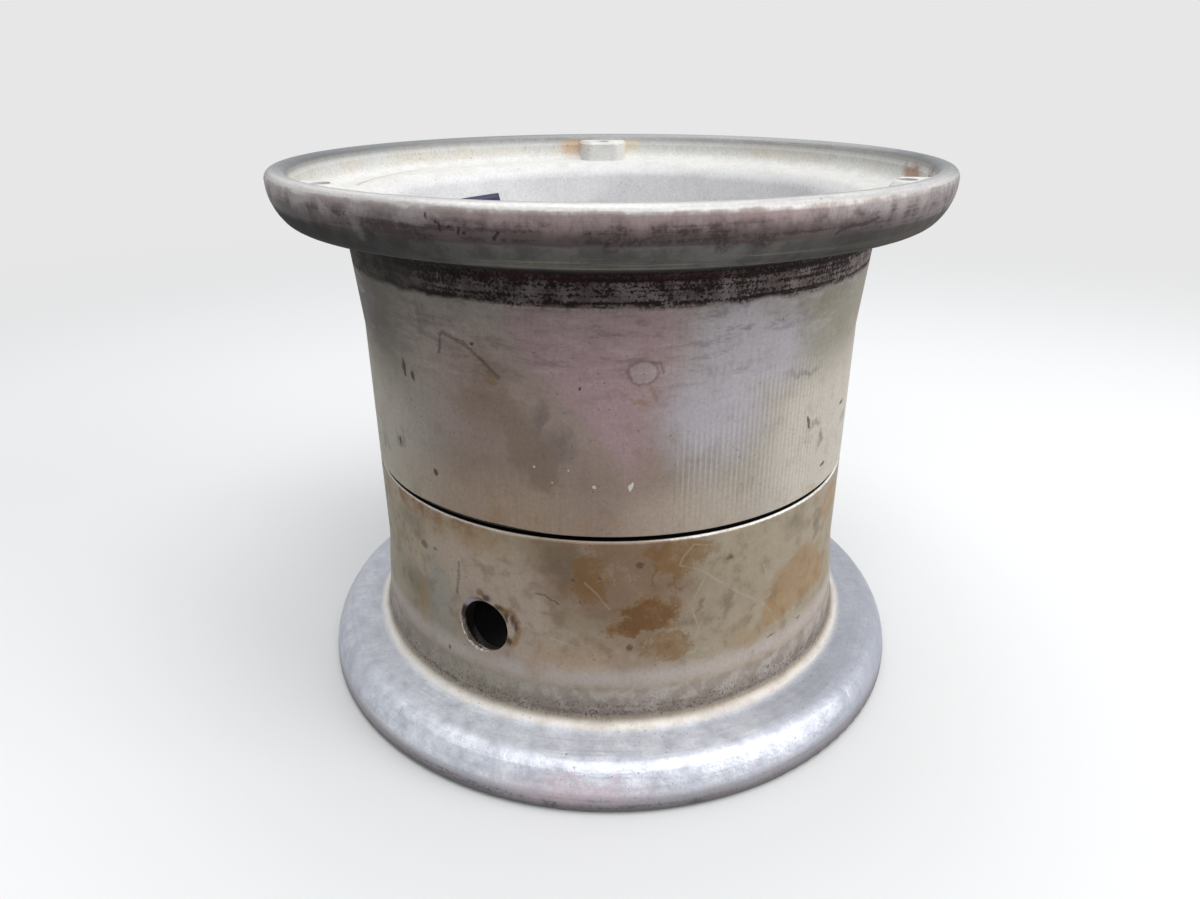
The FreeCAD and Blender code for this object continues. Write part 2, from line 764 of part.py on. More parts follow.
def make_bolt(number):
    """Head at the bottom, shank upwards through both webs."""
    body = new_body(f"through_bolt_{number}")
    head, corner, bevel = dim("head_height"), dim("hex_corner_radius"), dim("hex_chamfer")
    shank, point = dim("shank_radius"), dim("bolt_point")
    grip = dim("bolt_boss_height") * 2 + dim("washer_thickness") * 2
    nut = dim("nut_height") + dim("nut_collar_height")
    tip = head + grip + nut + dim("bolt_stick_out")
    revolve(body, [
        (0, 0),
        (corner - bevel * 2, 0),
        (corner, bevel),
        (corner, head),
        (shank, head),
        (shank, tip - point),
        (shank - point, tip),
        (0, tip),
    ])
    cut_hexagon(body, head)
    return body


def make_nut(number):
    """Self-locking nut, drawn from the face that bears on the washer to its round collar."""
    body = new_body(f"lock_nut_{number}")
    corner, bevel, height = dim("hex_corner_radius"), dim("hex_chamfer"), dim("nut_height")
    collar, bore = dim("nut_collar_radius"), dim("shank_radius")
    top = height + dim("nut_collar_height")
    revolve(body, [
        (bore, 0),
        (corner - bevel, 0),
        (corner, bevel),
        (corner, height - bevel),
        (corner - bevel, height),
        (collar, height),
        (collar, top - bevel),
        (collar - bevel, top),
        (bore, top),
    ])
    cut_hexagon(body, height)
    return body


def make_bolt_set(number):
    """One bolt with its nut and two washers, at its place on the bolt circle."""
    turn = DIMENSIONS["bolt_turn"] + 360.0 / DIMENSIONS["bolt_count"] * (number - 1)
    around = FreeCAD.Rotation(FreeCAD.Vector(0, 0, 1), turn)
    centre = around.multVec(FreeCAD.Vector(DIMENSIONS["bolt_circle_radius"], 0, 0))
    washer_sizes = dim("washer_hole_radius"), dim("washer_radius"), dim("washer_thickness")
    boss_bottom = DIMENSIONS["lower_length"] - DIMENSIONS["bolt_boss_height"]
    boss_top = DIMENSIONS["lower_length"] + DIMENSIONS["bolt_boss_height"]
    thickness = DIMENSIONS["washer_thickness"]
    pieces = [
        (make_bolt(number), boss_bottom - thickness - DIMENSIONS["head_height"]),
        (make_ring(f"head_washer_{number}", *washer_sizes), boss_bottom - thickness),
        (make_ring(f"nut_washer_{number}", *washer_sizes), boss_top),
        (make_nut(number), boss_top + thickness),
    ]
    for piece, level in pieces:
        piece.Placement = FreeCAD.Placement(centre + FreeCAD.Vector(0, 0, level), around)
    return [piece for piece, level in pieces]


# ---------------------------------------------------------------------------------------------

sub_parts = []
for which in ("lower", "upper"):
    sub_parts.append(make_wheel_half(which))
    sub_parts.extend(make_bearing(which))
    sub_parts.extend(make_seal(which))
for bolt_number in range(1, DIMENSIONS["bolt_count"] + 1):
    sub_parts.extend(make_bolt_set(bolt_number))
document.recompute()

for item in document.Objects:
    if "Invalid" in item.State or "Error" in item.State:
        raise RuntimeError(f"{item.Label} failed: {item.State}")
for sub_part in sub_parts:
    if sub_part.Shape.isNull() or not sub_part.Shape.isValid():
        raise RuntimeError(f"{sub_part.Label} has no valid shape")

os.makedirs("parts", exist_ok=True)
for sub_part in sub_parts:
    sub_part.Shape.exportStep(f"parts/{sub_part.Label}.step")
    print(f"{sub_part.Label:26s} {len(sub_part.Shape.Solids):3d} solids {sub_part.Shape.Volume:10.1f} mm3")
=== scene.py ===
"""Looks of a two-piece light aircraft wheel: worn cast halves, bearings, grease seals and through bolts."""

import json
import math

import bmesh
import bpy
from mathutils import Matrix, Vector
from mathutils.bvhtree import BVHTree


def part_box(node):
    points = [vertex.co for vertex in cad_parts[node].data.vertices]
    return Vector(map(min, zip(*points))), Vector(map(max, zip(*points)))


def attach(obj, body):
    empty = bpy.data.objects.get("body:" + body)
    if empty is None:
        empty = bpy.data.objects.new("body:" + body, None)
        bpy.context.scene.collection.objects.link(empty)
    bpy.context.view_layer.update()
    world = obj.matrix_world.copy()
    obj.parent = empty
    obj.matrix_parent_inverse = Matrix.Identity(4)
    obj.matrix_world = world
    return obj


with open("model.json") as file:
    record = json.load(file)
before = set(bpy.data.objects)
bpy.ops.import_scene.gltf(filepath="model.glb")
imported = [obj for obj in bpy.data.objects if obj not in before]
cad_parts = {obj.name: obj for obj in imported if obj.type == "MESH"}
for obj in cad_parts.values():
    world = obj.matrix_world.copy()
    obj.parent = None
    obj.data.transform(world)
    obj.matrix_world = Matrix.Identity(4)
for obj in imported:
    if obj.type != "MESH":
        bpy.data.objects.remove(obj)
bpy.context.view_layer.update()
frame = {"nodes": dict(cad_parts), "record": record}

MM = 0.001

# ---------------------------------------------------------------------------------------------
# places on the wheel, in millimetres and degrees: from the frame, and the solids' own radii


def box_mm(node):
    low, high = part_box(node)
    return low / MM, high / MM


HEIGHT = box_mm("upper_wheel_half")[1].z
MOUNTS = {mount["name"]: mount for mount in frame["record"]["mounts"]}
VALVE = Vector(MOUNTS["valve_hole"]["pos_m"]) / MM
VALVE_TURN = math.degrees(math.atan2(VALVE.x, -VALVE.y))
VALVE_SLOPE = 0.42
WELL_RADIUS = 74.1
VALVE_TOP = VALVE.z + (WELL_RADIUS - Vector(VALVE.xy).length) * VALVE_SLOPE
LIP_WALL = (87.5, 88.5)
BOSS_TURN, BOSS_STEP = 62, 120

# where the painted shadow in the seam starts and is full: up each half, at its edge, and on its inner land
UPPER_SEAM = (72.5, 72.3)
LOWER_SEAM = (70.6, 70.7)
SEAM_EDGE = (73.6, 73.3)
SEAM_LAND = (70.4, 71.2)

# ---------------------------------------------------------------------------------------------
# shader maths


class Value:
    """A number or a colour that varies over a surface: a socket with Python's operators."""

    def __init__(self, graph, socket):
        self.graph, self.socket = graph, socket

    def maths(self, operation, *others):
        return self.graph.node("ShaderNodeMath", {"operation": operation}, [self, *others])

    def __add__(self, other):
        return self.maths("ADD", other)

    __radd__ = __add__

    def __mul__(self, other):
        return self.maths("MULTIPLY", other)

    __rmul__ = __mul__

    def __sub__(self, other):
        return self.maths("SUBTRACT", other)

    def __rsub__(self, other):
        return self.graph.node("ShaderNodeMath", {"operation": "SUBTRACT"}, [other, self])

    def __truediv__(self, other):
        return self.maths("DIVIDE", other)

    def __neg__(self):
        return 0 - self

    def larger(self, other):
        return self.maths("MAXIMUM", other)

    def smaller(self, other):
        return self.maths("MINIMUM", other)

    def distance_to(self, other):
        return (self - other).maths("ABSOLUTE")

    def rise(self, low, high, to_low=0.0, to_high=1.0):
        """Smoothly from to_low to to_high as this value goes from low to high; low may be the larger."""
        return self.graph.node("ShaderNodeMapRange", {"interpolation_type": "SMOOTHSTEP"},
                               [self, low, high, to_low, to_high])


class Graph:
    """A node tree, with one call for any node and short ones for those used most."""

    def __init__(self, tree):
        self.tree = tree

    def node(self, kind, settings=None, inputs=(), out=0):
        """Add a node: its settings first, then values or links for its sockets, by order or by name."""
        made = self.tree.nodes.new(kind)
        for key, setting in (settings or {}).items():
            setattr(made, key, setting)
        pairs = inputs.items() if isinstance(inputs, dict) else enumerate(inputs)
        for key, value in pairs:
            if value is not None:
                self.feed(made.inputs[key], value)
        return Value(self, made.outputs[out])

    def feed(self, socket, value):
        if isinstance(value, Value):
            self.tree.links.new(value.socket, socket)
        elif socket.type == "RGBA" and len(value) == 3:
            socket.default_value = (*value, 1.0)
        else:
            socket.default_value = value

    def vector(self, operation, *inputs, scale=None, out=0):
        sockets = dict(enumerate(inputs))
        if scale is not None:
            sockets["Scale"] = scale
        return self.node("ShaderNodeVectorMath", {"operation": operation}, sockets, out)

    def measure(self, operation, *inputs):
        """A vector operation whose answer is a number."""
        return self.vector(operation, *inputs, out=1)

    def join(self, x, y, z):
        return self.node("ShaderNodeCombineXYZ", inputs=[x, y, z])

    def mix(self, amount, first, second):
        """A colour: first where amount is 0, second where it is 1."""
        return self.node("ShaderNodeMix", {"data_type": "RGBA"}, {0: amount, 6: first, 7: second}, out=2)

    def paint(self, colour, *layers):
        """Lay colours over one another, each with how much of it there is."""
        for amount, over in layers:
            colour = self.mix(amount, colour, over)
        return colour

    def seen(self):
        """1 for rays that look at this directly, in a reflection or through glass; 0 for its light."""
        rays = self.node("ShaderNodeLightPath").socket.node.outputs
        camera, glossy, through = (Value(self, rays[f"Is {kind} Ray"])
                                   for kind in ("Camera", "Glossy", "Transmission"))
        return (camera + glossy + through).smaller(1)


class Shader(Graph):
    """The nodes of one material, with the surface's own measures ready to use."""

    def __init__(self, name):
        self.material = bpy.data.materials.new(name)
        self.material.use_nodes = True
        super().__init__(self.material.node_tree)
        self.tree.nodes.clear()
        self.output = self.tree.nodes.new("ShaderNodeOutputMaterial")
        self.surface = self.tree.nodes.new("ShaderNodeBsdfPrincipled")
        self.tree.links.new(self.surface.outputs[0], self.output.inputs["Surface"])
        self.normal = None

        self.place = self.vector("SCALE", self.node("ShaderNodeTexCoord", out=3), scale=1 / MM)
        apart = self.node("ShaderNodeSeparateXYZ", inputs=[self.place]).socket.node.outputs
        self.x, self.y, self.z = (Value(self, apart[n]) for n in range(3))
        self.radius = self.measure("LENGTH", self.vector("MULTIPLY", self.place, (1, 1, 0)))
        self.turn = self.x.maths("ARCTAN2", -self.y) * math.degrees(1)

    def noise(self, size, at=None, detail=3.0, roughness=0.55, stretch=(1, 1, 1), shift=0.0, out=0):
        """Soft random numbers about 0.5 whose blotches are about size millimetres wide."""
        where = at or self.place
        if stretch != (1, 1, 1) or shift:
            where = self.node("ShaderNodeMapping", inputs=[
                where, (shift, shift, shift), (0, 0, 0), tuple(1 / length for length in stretch)])
        return self.node("ShaderNodeTexNoise", inputs={
            "Vector": where, "Scale": 1 / size, "Detail": detail, "Roughness": roughness}, out=out)

    def dent(self, height, strength, depth_mm):
        """Raise and lower the surface's normal by a height from 0 to 1, depth_mm deep."""
        self.normal = self.node("ShaderNodeBump", inputs={
            "Strength": strength, "Distance": depth_mm * MM, "Height": height, "Normal": self.normal})

    def finish(self, colour, roughness, metallic, specular=None):
        feeds = {"Base Color": colour, "Roughness": roughness, "Metallic": metallic,
                 "Specular IOR Level": specular, "Normal": self.normal}
        for name, value in feeds.items():
            if value is not None:
                self.feed(self.surface.inputs[name], value)
        return self.material


# ---------------------------------------------------------------------------------------------
# cast and turned aluminium of the two halves
#
# A mark on the rim is written as (turn, z, half width, half height, tilt): degrees to the right of
# the front, millimetres up, half its size in millimetres, and degrees. A tilted mark is wider than
# high. Depths are measured from the half's own lip.

ARC = math.radians(1) * WELL_RADIUS


def tone(red, green, blue):
    """The linear colour of an eight-bit screen colour."""
    screen = (level / 255 for level in (red, green, blue))
    return tuple(level / 12.92 if level < 0.04045 else ((level + 0.055) / 1.055) ** 2.4 for level in screen)


# near black, for painted shadow in the seam
SEAM_SHADOW = tone(8, 6, 5)


class Rim(Shader):
    """A shader with the unrolled rim as a plane: along the rim, and up it."""

    def __init__(self, name, upper):
        super().__init__(name)
        self.deep = HEIGHT - self.z if upper else self.z
        self.flat = self.join(self.turn * ARC, self.z, 0.0)

        # the same plane with its points pushed aside, for marks with loose and with tight outlines
        self.push = self.noise(5, roughness=0.6, out=1)
        self.loose = self.wander(2.6, self.push)
        self.tight = self.wander(0.4, self.noise(1.6, roughness=0.6, out=1))

        self.cloud = self.noise(26, detail=4, shift=3.0 if upper else 9.0)
        self.blotch = self.noise(6, detail=5, roughness=0.62, shift=2.0 if upper else 5.0)
        self.patch = self.noise(5, detail=4, shift=7.0)
        self.fine = self.noise(0.9, detail=4, roughness=0.7)
        self.rub = self.noise(0.75, detail=4, roughness=0.75)
        self.specks = self.noise(0.8, detail=1, shift=4.0).rise(0.70, 0.78) * self.cloud.rise(0.35, 0.6)
        self.streak = self.noise(0.8, detail=4, roughness=0.65, stretch=(1, 1, 14))
        self.hoop = self.noise(1.1, at=self.join(self.radius, self.z, self.turn * 0.05), detail=4,
                               roughness=0.65)

        # parts of the casting: far side, outer face, tyre's bead seat and flange
        self.behind = self.turn.distance_to(0).rise(66, 96)
        edge = self.deep.rise(10.4, 11.4, 89.7, 72.3)
        self.outside = (self.radius - edge).rise(-0.35, 0.35)
        ragged = self.deep + (self.blotch - 0.5) * 4
        self.seat = self.deep.rise(15.0, 17.6) * ragged.rise(26.2, 24.4) * self.outside
        self.flange = self.deep.rise(16.6, 14.6) * self.outside

    def wander(self, far, push):
        """The unrolled rim with every point pushed aside at random, by about far millimetres."""
        push = self.vector("MULTIPLY_ADD", push, (4 * far, 4 * far, 0), (-2 * far, -2 * far, 0))
        return self.vector("ADD", self.flat, push)

    def oval(self, where, across, up, wide, high):
        """How far from an oval's middle: 0 there, 1 at its edge."""
        return self.measure("LENGTH", self.vector(
            "MULTIPLY_ADD", where, (1 / wide, 1 / high, 0), (-across / wide, -up / high, 0)))

    def span(self, where, *marks):
        """How far to the nearest mark: 0 in its middle, 1 at its edge."""
        nearest = None
        for turn, z, wide, high, *tilt in marks:
            if tilt:
                reach = math.sqrt(wide ** 2 - high ** 2)
                step = Vector((math.cos(math.radians(tilt[0])), math.sin(math.radians(tilt[0])), 0)) * reach
                middle = Vector((turn * ARC, z, 0))
                first, last = (self.measure("DISTANCE", where, tuple(end))
                               for end in (middle - step, middle + step))
                span = (first + last - 2 * reach) / (2 * wide - 2 * reach)
            else:
                span = self.oval(where, turn * ARC, z, wide, high)
            nearest = nearest.smaller(span) if nearest else span
        return nearest

    def stain(self, where, soft, *marks):
        """1 inside the marks and 0 outside, with an edge as soft as asked."""
        return self.span(where, *marks).rise(1 + soft, 1 - soft)

    def stroke(self, where, wide, *points):
        """1 on a line through the points (turn, z), wide millimetres wide."""
        places = [Vector((turn * ARC, z, 0)) for turn, z in points]
        nearest = None
        for first, last in zip(places, places[1:]):
            step = last - first
            away = self.vector("SUBTRACT", where, tuple(first))
            share = self.node("ShaderNodeMath", {"operation": "MULTIPLY", "use_clamp": True}, [
                self.measure("DOT_PRODUCT", away, tuple(step)), 1 / step.length_squared])
            along = self.vector("SCALE", tuple(step), scale=share)
            span = self.measure("LENGTH", self.vector("SUBTRACT", away, along))
            nearest = nearest.smaller(span) if nearest else span
        return nearest.rise(0.8 * wide, 0.2 * wide)

    def zone(self, low_turn, high_turn, low_z, high_z, soft_turn=4.0, soft_z=4.0):
        """1 in a soft-edged patch of the rim between two turns and two heights."""
        return (self.turn.rise(low_turn - soft_turn, low_turn + soft_turn)
                * self.turn.rise(high_turn + soft_turn, high_turn - soft_turn)
                * self.z.rise(low_z - soft_z, low_z + soft_z)
                * self.z.rise(high_z + soft_z, high_z - soft_z))


def upper_well(s):
    """The long half's tyre well: grey beige, mauve in the middle, paler on the right, with painted shade
    under the flange, deepest at the upper left.
    """
    left_edge = s.turn - s.z.rise(86, 130, 3, -18)
    right_edge = s.turn - s.z.rise(92, 132, 6, 14)
    mauve = left_edge.rise(-3, 3) * right_edge.rise(6, -6) * (s.z + s.blotch * 10).rise(88, 100)
    warm = s.blotch.rise(0.42, 0.66)
    return s.paint(
        s.mix(s.cloud.rise(0.35, 0.65), tone(182, 173, 161), tone(170, 161, 151)),
        (s.zone(-36, 14, 60, 124, 9, 9) * 0.85, tone(160, 138, 124)),
        # painted shade: the flange's shadow on the upper left of the well, darkest at the far left
        (s.zone(-110, -44, 108, 140, 10, 11) * 0.85, tone(112, 102, 86)),
        (s.turn.rise(-44, -60) * s.z.rise(108, 120) * 0.9, tone(62, 57, 48)),
        # painted shade under the flange on the right
        (s.turn.rise(18, 40) * s.turn.rise(120, 80) * s.z.rise(112, 122) * 0.55, tone(134, 131, 118)),
        (s.zone(-40, 4, 94, 128, 6, 8) * 0.25, tone(200, 180, 178)),
        (s.zone(-74, -44, 66, 102, 9, 8) * 0.75, tone(202, 194, 178)),
        (s.zone(-50, -8, 66, 86, 8, 6) * 0.4, tone(196, 172, 146)),
        (s.zone(2, 30, 66, 84, 6, 6) * 0.45, tone(206, 186, 168)),
        (s.zone(34, 84, 60, 108, 8, 8) * 0.8, tone(216, 208, 195)),
        (s.stain(s.loose, 0.6, (24, 122, 14, 12), (20, 106, 14, 14), (30, 118, 18, 10)) * 0.85,
         tone(196, 190, 197)),
        (s.zone(40, 66, 112, 130, 6, 4) * 0.6, tone(160, 155, 134)),
        (mauve * 0.8, tone(188, 158, 162)),
        (s.stain(s.loose, 0.95, (-16, 97, 15, 5.5, -62), (-25, 108, 6, 9)) * 0.5, tone(128, 108, 86)),
        (s.stain(s.loose, 0.7, (-6, 75, 16, 3.4), (50, 75, 12, 3), (-24, 76, 16, 4)) * warm * 0.5,
         tone(184, 150, 114)),
        (s.behind * (s.blotch * 0.4 + s.cloud * 0.6).rise(0.44, 0.6) * 0.45, tone(156, 136, 114)),
        # painted shade: a little darker all round under the flange
        (s.z.rise(114, 134) * 0.15, tone(112, 104, 104)))


def upper_marks(s, colour):
    """Dents, chips, scratches and smudges in the long half's well, and painted shadow in the seam."""
    dark = s.stain(s.tight, 0.4, (-5.5, 112, 0.4, 0.65), (-46, 110, 2.6, 0.7, 100), (-43, 108.4, 0.8, 1.3),
                   (-38.5, 82.8, 0.8, 0.9), (45, 95, 2.0, 0.7, 110), (-26, 121, 0.6, 0.4), (62, 94, 2.0, 0.5),
                   (-51, 87, 0.5, 1.4), (53.5, 79, 1.6, 0.5))
    faint = s.stain(s.loose, 0.7, (65.5, 88.5, 3.4, 2.2), (47, 93, 3.0, 1.3), (51, 88, 1.6, 2.2),
                    (-51, 87, 2.2, 2.4), (-61, 83, 2.4, 2.0), (42, 109.5, 6, 1.2),
                    (-54, 125.5, 6, 1.4), (-37.5, 125, 2.0, 3.0), (25.5, 124.6, 1.6, 0.8),
                    (-13, 104, 1.5, 5.0), (-9, 97, 3.0, 5.0))
    scratch = s.stroke(s.tight, 1.0, (-34.2, 117), (-33.4, 121.5), (-32.6, 122.6), (-28, 120.8),
                       (-24.5, 117.5), (-21, 113))
    disc = s.span(s.tight, (6, 116, 3.3, 2.9))
    smudge = s.noise(3.2, at=s.join(s.radius, s.z, s.turn * 0.4), detail=5, roughness=0.7)
    chips = s.stain(s.tight, 0.3, (-3, 86.4, 0.45, 0.4), (4, 86.4, 1.3, 0.4, 70), (-14.6, 91, 0.25, 0.3),
                    (-7.8, 90.6, 0.2, 0.3), (-11, 87.2, 0.2, 0.2))
    ochre = s.stain(s.loose, 0.5, (5.5, 109, 1.3, 1.0), (8.5, 110.2, 1.0, 1.3), (-22.5, 112.5, 1.4, 1.4),
                    (51, 88, 1.4, 1.9))
    return s.paint(
        colour,
        (smudge.rise(0.5, 0.64) * s.z.rise(98, 124) * s.turn.rise(50, 24, 0.3, 1) * 0.38, tone(92, 82, 80)),
        (smudge.rise(0.46, 0.34) * s.z.rise(100, 118) * 0.25, tone(206, 196, 194)),
        (faint * s.fine.rise(0.3, 0.6, 0.2, 0.6), tone(112, 102, 98)),
        (scratch * s.fine.rise(0.3, 0.6, 0.3, 0.75), tone(92, 78, 66)),
        (ochre * 0.5, tone(150, 124, 88)),
        (disc.rise(1.3, 1.05) * disc.rise(0.8, 1.05) * 0.45, tone(112, 96, 96)),
        (disc.rise(1.0, 0.8) * 0.4, tone(198, 184, 182)),
        (s.stroke(s.tight, 0.7, (7.5, 118.6), (9.2, 118.2), (9.6, 116.0)) * 0.5, tone(112, 96, 92)),
        (dark * s.fine.rise(0.2, 0.5, 0.5, 0.9), tone(58, 46, 40)),
        (chips * 0.85, tone(240, 236, 228)),
        # painted shadow in the seam, along the long half's lower edge, ragged at the left
        ((s.z - s.turn.rise(-8, -24) * s.turn.rise(-50, -38) * (0.2 + s.fine * 0.5)).rise(72.6, 72.3), SEAM_SHADOW))


def lower_well(s):
    """The short half's tyre well: warm brown grey."""
    return s.paint(
        s.mix(s.cloud.rise(0.35, 0.65), tone(178, 164, 143), tone(168, 155, 135)),
        (s.zone(-16, 16, 48, 76, 8, 8) * 0.85, tone(140, 110, 86)),
        (s.zone(-4, 12, 28, 60, 8, 6) * 0.6, tone(150, 124, 102)),
        (s.zone(-62, -20, 50, 76, 10, 6) * 0.7, tone(182, 158, 130)),
        (s.zone(-96, -46, 30, 60, 8, 7) * 0.6, tone(166, 156, 134)),
        (s.zone(-54, -22, 42, 64, 6, 5) * 0.45, tone(210, 193, 170)),
        (s.stain(s.loose, 0.6, (-41, 44, 6, 13)) * 0.6, tone(160, 162, 156)),
        (s.stain(s.loose, 0.6, (-28, 57, 16, 8), (-10, 34, 16, 5), (-18, 49, 8, 12)) * 0.75,
         tone(200, 179, 164)),
        (s.stain(s.loose, 0.6, (30, 52, 12, 18)) * 0.5, tone(172, 156, 134)),
        ((s.blotch * 0.7 + s.fine * 0.3).rise(0.5, 0.62) * 0.35, tone(134, 108, 76)),
        ((s.blotch * 0.6 + s.fine * 0.4).rise(0.48, 0.38) * 0.3, tone(190, 178, 158)),
        (s.turn.rise(44, 66) * 0.45, tone(150, 136, 110)),
        (s.zone(-100, 100, 26.2, 31.5, 12, 2.6) * 0.8, tone(202, 190, 184)),
        (s.behind * (s.blotch * 0.4 + s.cloud * 0.6).rise(0.42, 0.6) * 0.5, tone(164, 138, 104)))


def lower_marks(s, colour):
    """Rust, scratches and stains in the short half's well, and the seam's rubbed edge with a painted
    highlight.
    """
    torn = (s.blotch - 0.5) * 1.0 + (s.fine - 0.5) * 1.1
    mottle = (s.fine * 0.6 + s.blotch * 0.4).rise(0.34, 0.58, 0.45, 1.0)
    rust = (s.span(s.loose, (8, 48, 8.8, 5.6), (4, 44.5, 6.0, 2.6), (-4, 57.6, 5.5, 5.4),
                   (14.5, 66.5, 9.5, 3.8), (13, 62.5, 5.2, 3.6), (12, 38, 6.6, 4.2), (-4.5, 63.5, 3.4, 3.4))
            + torn).rise(1.15, 0.85)
    deep_rust = (s.span(s.loose, (8, 48, 8.4, 5.0), (4.5, 44.5, 5.4, 2.4)) + torn).rise(1.1, 0.75)
    amber = (s.span(s.loose, (48, 46, 13.0, 9.4), (41, 40, 8.0, 4.4), (58, 42, 8.0, 5.2), (62, 63, 9.0, 4.4))
             + torn * 0.6).rise(1.2, 0.8)
    yellow = s.stain(s.loose, 0.7, (-28.5, 65.5, 7.5, 3.2), (-8, 35, 11, 3.4), (-38, 68, 3.0, 1.6),
                     (-16, 31, 2.5, 3.5), (-47, 38, 4, 8), (31.5, 34, 6, 3))
    seam = s.zone(-62, -30, 66.5, 80, 6, 2.4) * s.blotch.rise(0.4, 0.6)
    brown = s.stain(s.tight, 0.5, (-7.3, 59.2, 0.6, 0.5),
                    (25.5, 62.4, 0.9, 0.8), (6, 64, 1.0, 0.7), (-45, 57.5, 1.6, 1.2), (-41, 58, 0.7, 0.5),
                    (4.2, 38.6, 0.8, 1.1), (-6, 52.6, 0.3, 0.6), (-37.8, 27.4, 0.6, 0.8), (-2, 60, 0.5, 0.4),
                    (38, 31.6, 1.4, 0.35), (48, 31.6, 1.0, 0.4))
    runs = s.stain(s.loose, 0.5, (14.2, 57, 0.7, 3.0), (13, 53.5, 0.6, 2.0), (19.2, 49, 0.8, 2.6),
                   (9, 60, 0.7, 3.0))
    smear = s.stain(s.loose, 0.7, (43.5, 66, 4.6, 3.4), (54.5, 60, 5.0, 2.8, 78), (26, 48, 1.6, 4),
                    (-50, 62, 6, 4), (-9, 64, 5.5, 5.0), (-50, 42, 8, 5))
    blue = s.stroke(s.tight, 0.9, (-33.8, 57), (-34.2, 53), (-35, 47), (-34.6, 45.6)) * s.fine.rise(0.35, 0.6)
    white = s.stroke(s.flat, 0.6, (17, 68.4), (14.8, 65), (14.2, 62.8), (19, 60.2), (28, 50.5), (35, 44),
                     (38, 39.4))
    for points in (((-5, 58.6), (-2.6, 55.4), (0, 50.6)), ((34.2, 57.6), (36.8, 50.4)),
                   ((16.8, 68.6), (22, 67)), ((-12.4, 40.4), (-6.6, 38.2)),
                   ((-34.4, 62), (-36.6, 54), (-37, 51)),
                   ((20, 58), (17, 50), (19, 42))):
        white = white.larger(s.stroke(s.flat, 0.5, *points))
    white = white.larger(s.stain(s.tight, 0.4, (-57, 50, 1.6, 0.5, 50), (17.6, 34.8, 1.4, 0.45),
                                 (20.6, 35, 1.1, 0.4), (7.9, 30.3, 0.3, 0.3), (1, 59, 0.25, 1.2),
                                 (0.4, 61, 0.2, 0.5)))
    plum = s.stroke(s.tight, 0.6, (-15.2, 53.8), (-13.2, 53.6), (-10.4, 51.4))
    right = s.turn.rise(4, 22)
    # the top edge of the short half at the seam: rubbed metal with a painted highlight along it, strongest on
    # the right
    rubbed = ((s.z + s.fine * 0.3 + right * 0.1).rise(70.55, 70.7)
              * (right + s.turn.rise(-10, -40) * 0.4 + 0.25).smaller(1))
    return s.paint(
        colour,
        (smear * 0.5, tone(112, 102, 84)),
        (yellow * 0.35, tone(168, 136, 88)),
        (rust * mottle * 0.72, tone(136, 99, 52)),
        (amber * mottle * 0.6, tone(160, 118, 62)),
        (deep_rust * mottle * 0.75, tone(118, 78, 40)),
        (runs * 0.5, tone(122, 84, 52)),
        (seam * 0.6, tone(140, 90, 50)),
        (brown * s.fine.rise(0.3, 0.6, 0.4, 0.75), tone(82, 60, 44)),
        (blue * 0.7, tone(60, 60, 78)),
        (plum * 0.6, tone(92, 74, 80)),
        (white * s.blotch.rise(0.35, 0.6, 0.05, 0.3), tone(208, 198, 180)),
        (rubbed * s.blotch.rise(0.3, 0.55, 0.6, 1), tone(255, 252, 246)))


def valve_bore(s):
    """1 on the wall of the valve hole."""
    return (s.measure("DISTANCE", s.place, tuple(VALVE)).rise(11.5, 10.5)
            * s.radius.rise(73.95, 73.75) * s.radius.rise(69.4, 69.6))


def valve_mouth(s, colour, bore):
    """The battered edge of the valve hole: a broken-out hollow on its left, grime, rubbed metal with a
    painted highlight, and painted shade in a chip and down the bore.
    """
    turn, z = VALVE_TURN, VALVE_TOP
    hollow = s.span(s.tight, (turn - 1.4, z + 0.4, 6.6, 8.1))
    lit_lower_left = ((s.turn - turn) * ARC * 0.6 + (s.z - z)).rise(-3.6, -6.4)
    # a chip in the hollow, painted near black as shade
    pit = s.stain(s.tight, 0.35, (turn - 5.1, z + 2.2, 1.7, 2.3))
    ring = s.span(s.tight, (turn + 5.9, z + 1.8, 3.2, 5.4))
    return s.paint(
        colour,
        (hollow.rise(1.9, 1.1) * 0.3, tone(180, 158, 148)),
        (ring.rise(1.3, 0.95) * ring.rise(0.45, 0.8) * s.fine.rise(0.25, 0.5, 0.3, 0.75), tone(142, 108, 70)),
        (s.stain(s.tight, 0.6, (turn + 6.9, z + 4.2, 0.8, 1.8), (turn + 7.6, z + 2.6, 0.6, 1.6)) * 0.8,
         tone(70, 46, 36)),
        (s.stain(s.tight, 0.6, (turn - 0.9, z + 10.4, 1.2, 1.2), (turn + 5.0, z + 6.6, 1.2, 0.9)) * 0.75,
         tone(132, 98, 54)),
        (s.stain(s.tight, 0.6, (turn + 0.6, z + 9.3, 1.3, 1.1), (turn + 3.6, z + 7.2, 1.4, 1.0),
                 (turn + 5.4, z + 4.6, 0.6, 1.6), (turn + 6.0, z - 2.4, 0.7, 1.2)) * 0.85,
         tone(50, 50, 38)),
        (hollow.rise(1.04, 0.98), s.paint(
            s.mix((s.fine * 0.6 + s.blotch * 0.4).rise(0.42, 0.6), tone(66, 54, 46), tone(138, 124, 114)),
            (s.stain(s.tight, 0.5, (turn - 3.7, z + 5.8, 3.4, 2.4)) * 0.9, tone(176, 166, 172)),
            (s.stain(s.tight, 0.5, (turn - 4.4, z - 2.2, 1.6, 3.2)) * 0.5, tone(142, 122, 108)),
            (pit * 0.97, tone(34, 23, 18)))),
        # chipped, rubbed metal on the hollow's lower-left rim, with a painted highlight
        (hollow.rise(0.95, 1.0) * hollow.rise(1.1, 1.03) * lit_lower_left * s.fine.rise(0.4, 0.56),
         tone(250, 244, 236)),
        # painted shade: the bore's wall nearly black, down into the hole
        (bore * (s.z + s.blotch * 5).rise(35, 38, 0.9, 1), tone(15, 15, 13)))


